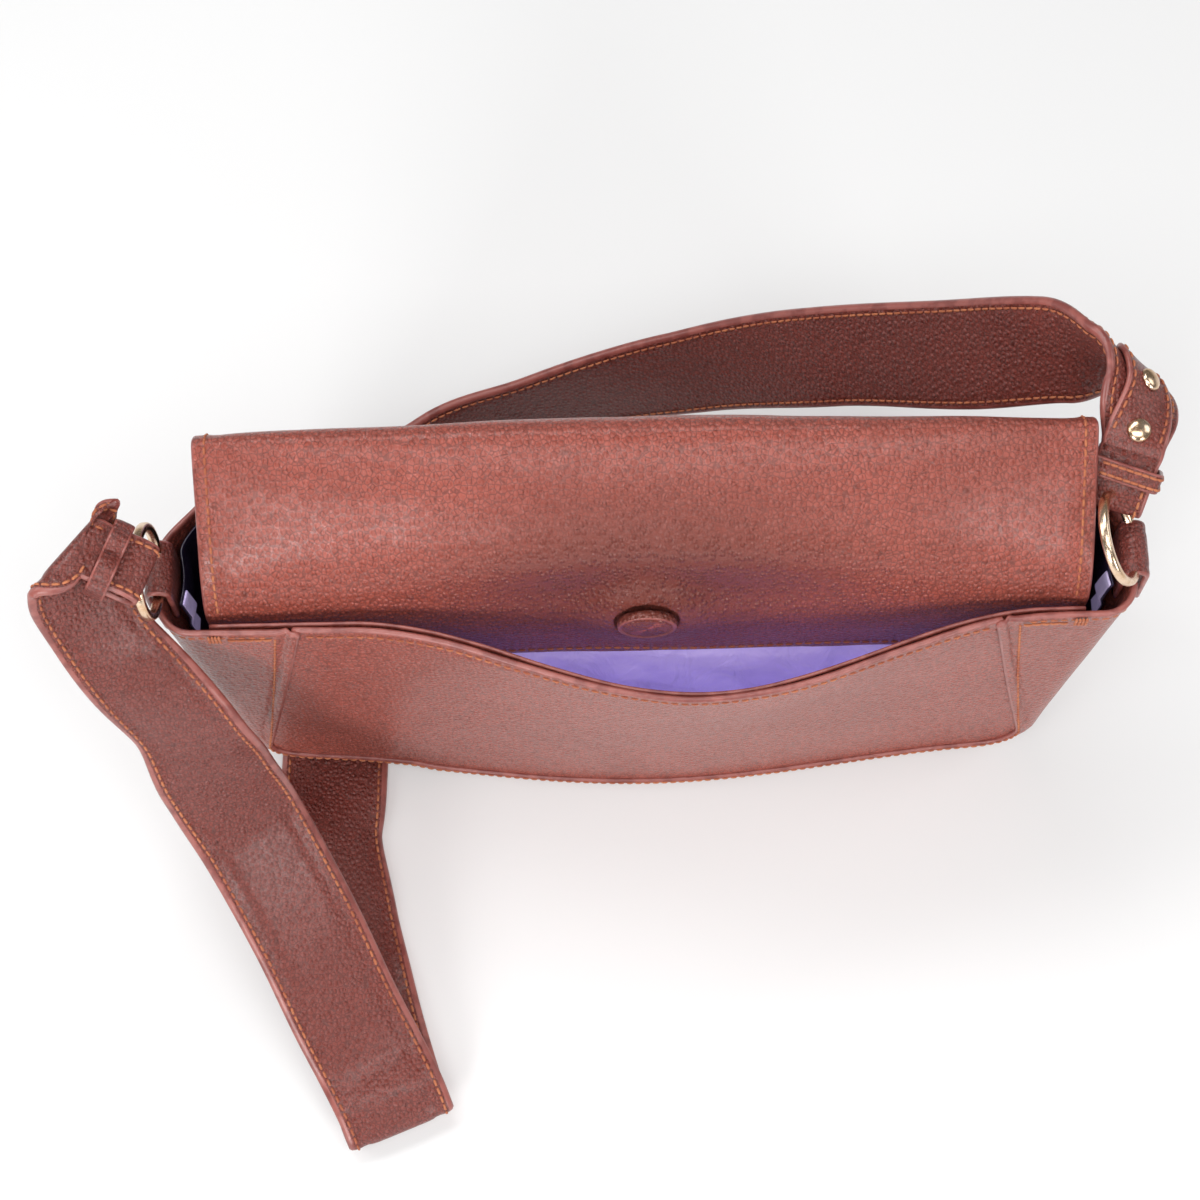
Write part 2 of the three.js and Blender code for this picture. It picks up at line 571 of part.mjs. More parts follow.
const rightGrip = rightCentre.clone().add(vec(0, RING.radius, 0));
const rightOut = vec(0.31, 0.78, 0.54).normalize();
const rightAcross = vec(0.93, -0.37, 0);
rightAcross.addScaledVector(rightOut, -rightAcross.dot(rightOut)).normalize();
const right = strapEnd(rightRing, rightGrip, rightOut, rightAcross, RIGHT_END);
add("strap_right_end", right.tongue, strapLeather);
add("right_keeper", right.keeper, strapLeather, right.frame);

// ---- strap: from the left end it folds over, falls to the ground, folds back, passes under the base,
// rises on edge behind the bag and turns down to the right end ----
const run = (x, y, z, ax, ay, az, width = STRAP_WIDTH, thickness = STRAP_THICKNESS) => ({
  centre: vec(x, y, z), across: vec(ax, ay, az).normalize(), width, thickness,
});
const strapPath = [
  ...left.exit,
  run(-186, -22, 203, 0.62, 0.79, 0),
  run(-190.5, -25, 195, 0.66, 0.74, -0.1),
  run(-188.5, -42, 171, 0.84, 0.52, -0.08),
  run(-162.5, -62, 130, 0.93, 0.15, 0.33),
  run(-153, -72, 103, 0.9, 0.35, 0.15),
  run(-144, -84, 75, 0.83, 0.56, 0),
  run(-127, -114, 45, 0.83, 0.56, 0),
  run(-114, -141, 27, 0.87, 0.5, 0),
  run(-105, -158, 18, 0.91, 0.42, 0),
  run(-98, -172, 15, 0.93, 0.36, 0),
  run(-94.5, -181, 9, 0.93, 0.36, 0),
  run(-98, -173, 2.6, 0.93, 0.36, 0),
  run(-108, -140, 2.3, 0.95, 0.3, 0),
  run(-117, -100, 6, 0.92, 0.2, -0.3),
  run(-122, -68, 9, 0.85, 0.1, -0.45),
  run(-122, -42, 2.4, 1, 0, 0),
  run(-120, 0, 2.1, 1, 0, 0),
  run(-117, 36, 2.1, 1, 0, 0),
  run(-106, 66, 9, 0.9, -0.3, -0.45),
  run(-78, 90, 21, 0.4, -0.2, -0.9),
  run(-36, 102, 33, 0.1, -0.15, -1),
  run(22, 100, 65, 0, -0.3, -0.95),
  run(70, 85, 108, 0, -0.45, -0.9),
  run(112, 66, 148, 0, -0.55, -0.83),
  run(143, 52, 180, 0.1, -0.5, -0.87),
  run(158, 44, 190, 0.45, -0.2, -0.85),
  run(166, 32, 195, 0.72, -0.25, -0.62, 36, 3.2),
  ...right.exit.reverse(),
];

// Where the folded-back tip is screwed to the strap: sections of the strap path, counted in stations.
const lastStation = strapPath.length - 1;
const sectionNear = (station) => sectionAt(strapPath, station / lastStation);
const TIP_SECTIONS = [2.9, 2.35, 1.8, 1.25, 0.7]; // how many stations before the strap's last one
const STUD_SECTIONS = [1.95, 1.25];
const TIP_STEP = (STRAP_THICKNESS + TONGUE_THICKNESS) / 2 + 3 * GAP;
const tipPath = TIP_SECTIONS.map((before) => {
  const section = sectionNear(lastStation - before);
  const centre = section.centre.clone().addScaledVector(section.face, TIP_STEP);
  return { centre, across: section.across, width: TONGUE_WIDTH, thickness: TONGUE_THICKNESS };
});

// A screw stud seen along its own axis: a back plate, a post through the leather and a domed head.
function stud(layers) {
  const { head, lip, post, dome, plate, plateRadius } = STUD;
  return lathe([
    [0, -plate], [plateRadius, -plate], [plateRadius, 0], [post, 0], [post, layers], [head, layers],
    [head, layers + lip], [head * 0.8, layers + dome * 0.8], [head * 0.45, layers + dome], [0, layers + dome],
  ]);
}
const rightStuds = STUD_SECTIONS.map((before) => sectionNear(lastStation - before));
const hole = new THREE.CylinderGeometry(STUD.hole, STUD.hole, 6 * STRAP_THICKNESS, ROUND);
const pierced = (geometry, sections) =>
  geometryFrom(sections.reduce(
    (solid, section) => solid.subtract(solidOf(hole, aim(section.centre, section.face))), solidOf(geometry),
  ));
add("strap", pierced(ribbon(strapPath), rightStuds), strapLeather);
add("strap_right_tip", pierced(ribbon(tipPath), rightStuds), strapLeather);
rightStuds.forEach((section, k) => {
  const base = section.centre.clone().addScaledVector(section.face, -(section.thickness / 2 + 2 * GAP));
  const layers = section.thickness / 2 + TIP_STEP + TONGUE_THICKNESS / 2 + 4 * GAP;
  add(`right_stud_${k + 1}`, stud(layers), goldMetal, aim(base, section.face));
});

// ---- bar tacks: the thick stitching that holds the back wall's edges to the pocket's rim ----
for (const [name, side] of [["left_bar_tack", -1], ["right_bar_tack", 1]]) {
  const x = side * (WALL_HALF - TACK.fromEdge);
  const tack = new THREE.BoxGeometry(TACK.wide, TACK.deep, TACK.high);
  add(name, tack, thread).position.set(x, nearFace(x, RIM_HEIGHT - 2) - TACK.deep / 2 - GAP, RIM_HEIGHT - 3);
}

export default purse;
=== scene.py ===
"""The looks of a crossbody purse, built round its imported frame.

Lengths are in millimetres while a shape is worked out and turn into metres when its mesh is made.
"""
import math
import random

import bpy
from mathutils import Matrix, Vector, noise


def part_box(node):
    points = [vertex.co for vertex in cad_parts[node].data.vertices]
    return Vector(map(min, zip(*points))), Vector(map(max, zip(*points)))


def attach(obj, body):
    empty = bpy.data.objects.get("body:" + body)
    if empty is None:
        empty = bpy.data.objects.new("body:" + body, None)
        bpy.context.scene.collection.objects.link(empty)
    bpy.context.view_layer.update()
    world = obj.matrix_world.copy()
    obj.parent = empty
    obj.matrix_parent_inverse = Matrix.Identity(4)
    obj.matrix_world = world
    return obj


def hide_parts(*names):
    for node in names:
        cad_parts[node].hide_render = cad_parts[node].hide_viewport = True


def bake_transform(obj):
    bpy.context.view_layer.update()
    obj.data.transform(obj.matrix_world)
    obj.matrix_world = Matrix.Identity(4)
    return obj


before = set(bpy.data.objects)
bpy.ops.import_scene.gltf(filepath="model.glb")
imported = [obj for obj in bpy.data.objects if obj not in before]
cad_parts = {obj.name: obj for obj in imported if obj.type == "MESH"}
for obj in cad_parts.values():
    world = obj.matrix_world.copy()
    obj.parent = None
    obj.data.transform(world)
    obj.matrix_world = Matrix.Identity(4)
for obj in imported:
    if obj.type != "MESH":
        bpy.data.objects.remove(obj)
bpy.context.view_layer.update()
MM = 0.001
random.seed(11)


def box(node):
    """A CAD node's lowest and highest corners in millimetres."""
    low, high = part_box(node)
    return low / MM, high / MM


# ---------------------------------------------------------------- sizes
RIM_HEIGHT = 160.0
RIM_DIP = 6.0
HALF_WIDTH_RIM = box("gusset")[1].x
HALF_WIDTH_BASE = 152.0
BASE_CORNER = 26.0
NEAR_BASE, NEAR_RIM = 36.0, 38.0
BELLY_BASE = 13.0
POCKET_GAPE, GAPE_CENTRE, GAPE_HALF = 27.0, 18.0, 120.0
FAR_BASE, FAR_RIM, FAR_BELLY = 32.0, 21.0, 3.0
CORNER_RIM, CORNER_BASE = 12.0, 8.0
EAR_RIM, EAR_BASE = 48.0, 9.0
PINCH_DEPTH, PINCH_FROM, PINCH_TO = 17.0, -8.0, 18.0
FRONT_TOP = 172.0
TUNNEL_CENTRE, TUNNEL_HALF, TUNNEL_RAMP, TUNNEL_HEIGHT = -120.0, 28.0, 12.0, 4.6
WALL_HALF = 149.5
POCKET_SEAM = box("back_wall")[0].z
HINGE_Y, HINGE_Z = 21.0, 190.0
FLAP_DROP = box("flap")[0].z
FLAP_CORNER = 32.0
FLAP_OUT, FLAP_SLOPE = 18.5, 62.0

LEATHER = 2.2
CLOTH = 0.8
STITCH_PITCH = 3.4
STITCH_IN = 3.6


# ---------------------------------------------------------------- small maths
def mix(a, b, t):
    return a + (b - a) * t


def clamp(x, low=0.0, high=1.0):
    return max(low, min(high, x))


def smooth(x, low, high):
    t = clamp((x - low) / (high - low))
    return t * t * (3 - 2 * t)


def hump(x, centre, half):
    if abs(x - centre) >= half:
        return 0.0
    return math.cos((x - centre) / half * math.pi / 2) ** 2


def bell(x, width):
    return math.exp(-((x / width) ** 2))


def wave(point, size, seed=0.0):
    """Soft noise from -1 to 1 with bumps of about the given size."""
    return noise.noise(point / size + Vector((seed, 2 * seed, 3 * seed)))


def steps(count, start=0.0, end=1.0):
    return [mix(start, end, k / count) for k in range(count + 1)]


def fine_ends(count, share=0.04, extra=4):
    """Parameters from 0 to 1, closer together near both ends."""
    near = [share * k / extra for k in range(extra)]
    return near + steps(count, share, 1 - share) + [1 - s for s in reversed(near)]


# ---------------------------------------------------------------- the bag's outer shape
def flare(z):
    return mix(HALF_WIDTH_BASE, HALF_WIDTH_RIM, (max(z, 0) / RIM_HEIGHT) ** 1.2)


def inset_half(z, margin=0.0):
    if z >= BASE_CORNER:
        return flare(z) - margin
    radius = BASE_CORNER - margin
    below = BASE_CORNER - z
    return flare(z) - BASE_CORNER + math.sqrt(max(radius * radius - below * below, 0))


def near_face(x, z):
    up = clamp(z / RIM_HEIGHT, 0, 1.1)
    ends = mix(NEAR_BASE, NEAR_RIM, up)
    belly = BELLY_BASE * hump(x, 0, HALF_WIDTH_BASE) * (1 - up)
    gape = POCKET_GAPE * hump(x, GAPE_CENTRE, GAPE_HALF) * up ** 1.4
    return -(ends + belly + gape)


def far_face(x, z):
    return mix(FAR_BASE, FAR_RIM, (z / RIM_HEIGHT) ** 2) + FAR_BELLY * hump(x, 0, HALF_WIDTH_BASE)


def rim_height(x):
    return RIM_HEIGHT - RIM_DIP * hump(x, GAPE_CENTRE, GAPE_HALF)


def ear_lap(z):
    return mix(EAR_BASE, EAR_RIM, clamp((z - BASE_CORNER) / (RIM_HEIGHT - BASE_CORNER)))


def shaped(point):
    """The hollow for the strap under the base, and the sides folding in towards the front at the rim."""
    beside = smooth(abs(point.x - TUNNEL_CENTRE), TUNNEL_HALF, TUNNEL_HALF + TUNNEL_RAMP)
    point.z += TUNNEL_HEIGHT * (1 - beside) * (1 - smooth(point.z, 0, BASE_CORNER))
    fold = (point.z / RIM_HEIGHT) ** 2 * smooth(point.y, PINCH_FROM, PINCH_TO)
    point.x *= 1 - PINCH_DEPTH / HALF_WIDTH_RIM * fold
    return point


def outline(s):
    """A place on the bag's outline, left rim to right rim by way of the base, and the way in from it."""
    side = RIM_HEIGHT - BASE_CORNER
    bend = BASE_CORNER * math.pi / 2
    flat = HALF_WIDTH_BASE - BASE_CORNER
    run = min(s, 1 - s) * (2 * side + 2 * bend + 2 * flat)
    sign = 1 if s > 0.5 else -1
    if run < side:
        z = RIM_HEIGHT - run
        return sign * flare(z), z, Vector((-sign, 0, 0))
    run -= side
    low = flare(BASE_CORNER)
    if run < bend:
        angle = run / BASE_CORNER
        x = sign * (low - BASE_CORNER * (1 - math.cos(angle)))
        z = BASE_CORNER * (1 - math.sin(angle))
        return x, z, Vector((-sign * math.cos(angle), 0, math.sin(angle)))
    return sign * (low - BASE_CORNER) * (1 - (run - bend) / flat), 0.0, Vector((0, 0, 1))


LAP_SHARE, CORNER_SHARE, FRONT_LAP = 0.22, 0.18, 5.0


def gusset_section(s, t):
    """Across the gusset: lap on the pocket side, round corner, side, round corner, lap on the front."""
    x, z, inward = outline(s)
    corner = mix(CORNER_BASE, CORNER_RIM, z / RIM_HEIGHT)

    def place(depth, face, step):
        px = x + inward.x * depth
        pz = z + inward.z * depth
        return Vector((px, face(px, pz) + step, pz))

    def rounded(turn, face, side):
        return place(corner * (1 - math.sin(turn)), face, side * corner * (1 - math.cos(turn)))

    quarter = math.pi / 2
    if t < LAP_SHARE:
        return place(mix(ear_lap(z), corner, t / LAP_SHARE), near_face, 0)
    after_lap = (t - LAP_SHARE) / CORNER_SHARE
    if after_lap < 1:
        return rounded(after_lap * quarter, near_face, 1)
    from_far = (1 - t) / CORNER_SHARE
    if from_far < 0.5:
        return place(mix(corner + FRONT_LAP, corner, from_far * 2), far_face, 0)
    if from_far < 1.5:
        return rounded((from_far - 0.5) * quarter, far_face, -1)
    low = LAP_SHARE + CORNER_SHARE
    high = 1 - 1.5 * CORNER_SHARE
    share = (t - low) / (high - low)
    return rounded(quarter, near_face, 1).lerp(rounded(quarter, far_face, -1), share)


def catmull(values, t):
    """A uniform Catmull-Rom spline through the values, as a pair of numbers."""
    place = t * (len(values) - 1)
    i = min(int(place), len(values) - 2)
    w = place - i
    p1, p2 = values[i], values[i + 1]
    p0 = values[i - 1] if i > 0 else values[i]
    p3 = values[i + 2] if i + 2 < len(values) else p2
    result = []
    for a, b, c, d in zip(p0, p1, p2, p3):
        v0, v1 = (c - a) / 2, (d - b) / 2
        cubic = 2 * b - 2 * c + v0 + v1
        square = -3 * b + 3 * c - 2 * v0 - v1
        result.append(cubic * w ** 3 + square * w * w + v0 * w + b)
    return result


WALL_END = [(-29.4, 112), (-31, 148), (-30, 161), (-21, 174), (-5, 187), (9, 198), (15, 201), (19, 197),
            (HINGE_Y, HINGE_Z)]
WALL_MIDDLE = [(-29.4, 112), (-31, 140), (-28, 162), (-20, 182), (-6, 198), (8, 207), (16, 207), (20, 200),
               (HINGE_Y, HINGE_Z)]
WALL_SHARE = 0.56
SEAM_SAG, SEAM_WAVE, SEAM_RIPPLE = 6.0, 1.3, 15.0
MAGNET_Z = sum((corner.z for corner in box("magnet_cover")), 0.0) / 2


def cover_point(u, v):
    """The long leather piece: back wall, ridge and flap, from the pocket's seam to the flap's lower edge."""
    if v < WALL_SHARE:
        along = v / WALL_SHARE
        x = mix(-WALL_HALF, WALL_HALF, u)
        crown = 1 - abs(x / WALL_HALF) ** 3
        end, middle = catmull(WALL_END, along), catmull(WALL_MIDDLE, along)
        point = Vector((x, mix(end[0], middle[0], crown), mix(end[1], middle[1], crown)))
        point.z -= (SEAM_SAG + SEAM_WAVE * math.sin(x / SEAM_RIPPLE)) * (1 - smooth(along, 0, 0.16))
        return point
    along = (v - WALL_SHARE) / (1 - WALL_SHARE)
    return flap_point(u, mix(HINGE_Z, FLAP_DROP, along), 0.0, 0.0)


def flap_point(u, z, margin, depth):
    """A place on the hanging flap, margin in from its outline and depth behind its outer face."""
    radius = FLAP_CORNER - margin
    below = min(max(FLAP_DROP + FLAP_CORNER - z, 0), radius)
    half = WALL_HALF - margin - radius + math.sqrt(radius ** 2 - below ** 2)
    out = min((HINGE_Z - z) / FLAP_SLOPE, 1)
    return Vector((mix(-half, half, u), HINGE_Y + FLAP_OUT * math.sin(out * math.pi / 2) - depth, z))


# ---------------------------------------------------------------- meshes
def new_object(name, points, faces, materials, indices=None):
    mesh = bpy.data.meshes.new(name)
    mesh.from_pydata([p * MM for p in points], [], faces)
    for material in materials:
        mesh.materials.append(material)
    for k, polygon in enumerate(mesh.polygons):
        polygon.use_smooth = True
        if indices:
            polygon.material_index = indices[k]
    mesh.validate()
    mesh.update()
    piece = bpy.data.objects.new(name, mesh)
    bpy.context.scene.collection.objects.link(piece)
    return piece


def grid_normals(grid):
    rows, columns = len(grid), len(grid[0])
    normals = []
    for i in range(rows):
        line = []
        for j in range(columns):
            along = grid[min(i + 1, rows - 1)][j] - grid[max(i - 1, 0)][j]
            across = grid[i][min(j + 1, columns - 1)] - grid[i][max(j - 1, 0)]
            normal = along.cross(across)
            if normal.length < 1e-6:
                inner = grid[clampi(i, rows)][clampi(j, columns)]
                normal = (grid[clampi(i + 1, rows)][j] - inner).cross(grid[i][clampi(j + 1, columns)] - inner)
            line.append(normal.normalized())
        normals.append(line)
    return normals


def clampi(i, count):
    return max(1, min(count - 2, i))


EDGE_STEPS = 5


def sheet(name, surface, us, vs, thickness, materials, bump):
    """A closed sheet with rounded edges. materials: face, edge, back.

    surface(u, v) gives the outer face; bump(point, u, v) gives a height added to it.
    """
    grid = [[surface(u, v) for v in vs] for u in us]
    normals = grid_normals(grid)
    rows, columns = len(us), len(vs)
    for i in range(rows):
        for j in range(columns):
            grid[i][j] = grid[i][j] + normals[i][j] * bump(grid[i][j], us[i], vs[j])
    points = [p for line in grid for p in line]
    under = len(points)
    points += [grid[i][j] - normals[i][j] * thickness for i in range(rows) for j in range(columns)]

    def at(i, j):
        return i * columns + j

    faces, indices = [], []
    for i in range(rows - 1):
        for j in range(columns - 1):
            faces.append((at(i, j), at(i + 1, j), at(i + 1, j + 1), at(i, j + 1)))
            indices.append(0)
            faces.append(tuple(under + k for k in (at(i, j), at(i, j + 1), at(i + 1, j + 1), at(i + 1, j))))
            indices.append(2)
    loop = [(i, 0) for i in range(rows)] + [(rows - 1, j) for j in range(1, columns)]
    loop += [(i, columns - 1) for i in range(rows - 2, -1, -1)] + [(0, j) for j in range(columns - 2, 0, -1)]
    rings = [[at(i, j) for i, j in loop]]
    count = len(loop)
    outs = []
    for k, (i, j) in enumerate(loop):
        before, after = loop[k - 1], loop[(k + 1) % count]
        along = grid[after[0]][after[1]] - grid[before[0]][before[1]]
        outs.append(along.cross(normals[i][j]).normalized())
    for step in range(1, EDGE_STEPS):
        angle = math.pi * step / EDGE_STEPS
        ring = []
        for k, (i, j) in enumerate(loop):
            middle = grid[i][j] - normals[i][j] * (thickness / 2)
            reach = thickness / 2 * math.sin(angle)
            points.append(middle + normals[i][j] * (thickness / 2 * math.cos(angle)) + outs[k] * reach)
            ring.append(len(points) - 1)
        rings.append(ring)
    rings.append([under + at(i, j) for i, j in loop])
    for a, b in zip(rings, rings[1:]):
        for k in range(count):
            n = (k + 1) % count
            faces.append((a[k], b[k], b[n], a[n]))
            indices.append(1)
    return new_object(name, points, faces, materials, indices)


def arc_table(path):
    lengths = [0.0]
    for a, b in zip(path, path[1:]):
        lengths.append(lengths[-1] + (b - a).length)
    return lengths


def resample(path, normals, pitch, margin=2.0):
    """Places every pitch along a path: (point, tangent, normal)."""
    lengths = arc_table(path)
    total = lengths[-1] - 2 * margin
    count = max(int(total / pitch), 1)
    places, k = [], 0
    for n in range(count):
        want = margin + (n + 0.5) * total / count
        while k < len(lengths) - 2 and lengths[k + 1] < want:
            k += 1
        share = (want - lengths[k]) / max(lengths[k + 1] - lengths[k], 1e-9)
        point = path[k].lerp(path[k + 1], share)
        tangent = (path[k + 1] - path[k]).normalized()
        normal = normals[k].lerp(normals[k + 1], share).normalized()
        places.append((point, tangent, normal))
    return places


# A stitch from end to end: its place along, its thickness and its height, each as a share.
STITCH_SHAPE = [(-0.5, 0.35, -0.42), (-0.4, 0.85, 0.05), (-0.15, 1.0, 0.32)]
STITCH_SHAPE += [(-along, size, lift) for along, size, lift in reversed(STITCH_SHAPE)]
STITCH_SIDES = 6


def stitch_mesh(name, places, material, length=2.75, radius=0.5):
    """A row of thread stitches, each a short thread that dives into the leather at both ends."""
    points, faces = [], []
    for point, tangent, normal in places:
        side = tangent.cross(normal).normalized()
        tilt = Matrix.Rotation(random.uniform(-0.07, 0.07), 3, normal)
        along, side = tilt @ tangent, tilt @ side
        base = len(points)
        for t, size, lift in STITCH_SHAPE:
            centre = point + along * (t * length) + normal * (lift * radius)
            for k in range(STITCH_SIDES):
                angle = 2 * math.pi * k / STITCH_SIDES
                offset = side * math.cos(angle) + normal * math.sin(angle) * 0.8
                points.append(centre + offset * radius * size)
        for ring in range(len(STITCH_SHAPE) - 1):
            for k in range(STITCH_SIDES):
                n = (k + 1) % STITCH_SIDES
                a, b = base + ring * STITCH_SIDES, base + (ring + 1) * STITCH_SIDES
                faces.append((a + k, b + k, b + n, a + n))
        last = base + (len(STITCH_SHAPE) - 1) * STITCH_SIDES
        faces.append(tuple(base + k for k in range(STITCH_SIDES)))
        faces.append(tuple(last + k for k in reversed(range(STITCH_SIDES))))
    return new_object(name, points, faces, [material])


def surface_row(surface, us_vs, bump):
    """A path on a surface and its normals."""
    path, normals = [], []
    tiny = 0.002
    for u, v in us_vs:
        point = surface(u, v)
        du = surface(min(u + tiny, 1), v) - surface(max(u - tiny, 0), v)
        dv = surface(u, min(v + tiny, 1)) - surface(u, max(v - tiny, 0))
        normal = du.cross(dv).normalized()
        path.append(point + normal * bump(point, u, v))
        normals.append(normal)
    return path, normals


def stitch_row(name, surface, us_vs, bump):
    path, normals = surface_row(surface, us_vs, bump)
    return stitch_mesh(name, resample(path, normals, STITCH_PITCH), THREAD)


def sew(name, surface, us_vs, bump):
    """A stitch row that stays with the bag's body."""
    dress(stitch_row(name, surface, us_vs, bump), "thread", "root")


def lathe(name, profile, place, direction, materials, segments=64, indices=None):
    """A turned piece: profile is (radius, height) pairs from the axis to the axis."""
    turn = Vector((0, 0, 1)).rotation_difference(direction.normalized()).to_matrix()
    points, faces, marks = [], [], []
    for radius, height in profile:
        for k in range(segments):
            angle = 2 * math.pi * k / segments
            local = Vector((max(radius, 0.01) * math.cos(angle), max(radius, 0.01) * math.sin(angle), height))
            points.append(place + turn @ local)
    for ring in range(len(profile) - 1):
        for k in range(segments):
            n = (k + 1) % segments
            a, b = ring * segments, (ring + 1) * segments
            faces.append((a + k, a + n, b + n, b + k))
            marks.append(indices[ring] if indices else 0)
    last = (len(profile) - 1) * segments
    faces.append(tuple(reversed(range(segments))))
    faces.append(tuple(last + k for k in range(segments)))
    marks += [0, 0]
    return new_object(name, points, faces, materials, marks)


# ---------------------------------------------------------------- straps and bands
def centripetal(points, at):
    """A centripetal Catmull-Rom curve; at counts in stations."""
    i = min(int(at), len(points) - 2)
    w = at - i
    p1, p2 = points[i], points[i + 1]
    p0 = points[i - 1] if i > 0 else p1 * 2 - p2
    p3 = points[i + 2] if i + 2 < len(points) else p2 * 2 - p1
    d0, d1, d2 = (math.sqrt((b - a).length) for a, b in ((p0, p1), (p1, p2), (p2, p3)))
    v1 = ((p1 - p0) / d0 - (p2 - p0) / (d0 + d1) + (p2 - p1) / d1) * d1
    v2 = ((p2 - p1) / d1 - (p3 - p1) / (d1 + d2) + (p3 - p2) / d2) * d1
    return p1 + v1 * w + (p2 * 3 - p1 * 3 - v1 * 2 - v2) * w ** 2 + (p1 * 2 - p2 * 2 + v1 + v2) * w ** 3


class Station:
    """One place on a strap. skew 1 keeps the across direction as given, as at an oblique fold."""

    def __init__(self, centre, across, width, thickness, skew=0.0):
        self.centre = Vector(centre)
        self.across = Vector(across).normalized()
        self.width = width
        self.thickness = thickness
        self.skew = skew


def section_at(stations, at):
    """The strap's frame at a place counted in stations: (centre, across, face, width, thickness)."""
    points = [s.centre for s in stations]
    at = clamp(at, 0, len(stations) - 1)
    i = min(int(at), len(stations) - 2)
    share = smooth(at - i, 0, 1)
    tiny = 0.01
    ahead = centripetal(points, min(at + tiny, len(points) - 1))
    tangent = (ahead - centripetal(points, max(at - tiny, 0))).normalized()
    a, b = stations[i], stations[i + 1]
    across = a.across.lerp(b.across, share)
    square = 1 - mix(a.skew, b.skew, share)
    across = (across - tangent * (across.dot(tangent) * square)).normalized()
    face = tangent.cross(across).normalized()
    width, thickness = mix(a.width, b.width, share), mix(a.thickness, b.thickness, share)
    return centripetal(points, at), across, face, width, thickness


def sections(stations, first, last, per_station):
    count = max(int((last - first) * per_station), 2)
    return [section_at(stations, at) for at in steps(count, first, last)]


SEAM_IN = 3.4
EDGE_MARKS = [0.0, 0.9, 1.8, 2.6, 3.4, 4.2, 5.4, 7.4]


def ribbon_profile(width, thickness, crown, seam):
    """The strap's cross-section: (across, up, is_edge) points round the outline."""
    radius = thickness / 2
    reach = width / 2 - radius
    marks = [m for m in EDGE_MARKS if m < reach] + [reach]
    across = sorted({round(s * (reach - m), 4) for m in marks for s in (-1, 1)})
    face = []
    for a in across:
        inside = reach + radius - abs(a)
        rise = crown * (1 - (a / reach) ** 4) - seam * bell(inside - SEAM_IN, 0.9)
        face.append((a, radius + rise))
    ring = [(a, up, False) for a, up in face]
    for k in range(1, EDGE_STEPS):
        turn = math.pi * k / EDGE_STEPS
        ring.append((reach + radius * math.sin(turn), radius * math.cos(turn), True))
    ring += [(a, -up, False) for a, up in reversed(face)]
    for k in range(1, EDGE_STEPS):
        turn = math.pi * k / EDGE_STEPS
        ring.append((-reach - radius * math.sin(turn), -radius * math.cos(turn), True))
    return ring


def ribbon(name, frames, materials, crown=0.35, seam=0.3, closed=False, tip=0.0, wobble=0.0):
    """A leather strip swept through frames. tip rounds its last end off over that length."""
    width0, thickness0 = frames[0][3], frames[0][4]
    base = ribbon_profile(width0, thickness0, crown, seam)
    count = len(base)
    reversed_path = [f[0] for f in reversed(frames)]
    from_end = list(reversed(arc_table(reversed_path)))
    points = []
    for (centre, across, face, width, thickness), left in zip(frames, from_end):
        narrow = 1.0
        if tip and left < tip:
            narrow = max(math.sqrt(1 - (1 - left / tip) ** 2), 0.04)
        lift = wobble * wave(centre, 34.0, 4) if wobble else 0.0
        for a, up, _ in base:
            a_scaled = a * width / width0 * narrow
            up_scaled = up * thickness / thickness0
            points.append(centre + across * a_scaled + face * (up_scaled + lift))
    faces, marks = [], []
    total = len(frames)
    for k in range(total if closed else total - 1):
        a, b = k * count, (k + 1) % total * count
        for c in range(count):
            n = (c + 1) % count
            faces.append((a + c, b + c, b + n, a + n))
            marks.append(1 if base[c][2] or base[n][2] else 0)
    if not closed:
        faces.append(tuple(range(count)))
        faces.append(tuple(reversed(range((total - 1) * count, total * count))))
        marks += [1, 1]
    return new_object(name, points, faces, materials, marks)


def ribbon_rows(name, frames, margin=SEAM_IN, faces=(1, -1), lift=0.1, stop=2.0, pitch=STITCH_PITCH):
    """Stitch rows along a strip's edges, on one face or both."""
    rows = []
    for side in faces:
        for edge in (-1, 1):
            path, normals = [], []
            for centre, across, face, width, thickness in frames:
                reach = edge * (width / 2 - margin)
                path.append(centre + across * reach + face * (side * (thickness / 2 + lift)))
                normals.append(face * side)
            rows += resample(path, normals, pitch, stop)
    return stitch_mesh(name, rows, THREAD)


# ---------------------------------------------------------------- material helpers
def srgb(red, green, blue):
    def linear(value):
        share = value / 255
        return share / 12.92 if share <= 0.04045 else ((share + 0.055) / 1.055) ** 2.4
    return (linear(red), linear(green), linear(blue), 1.0)


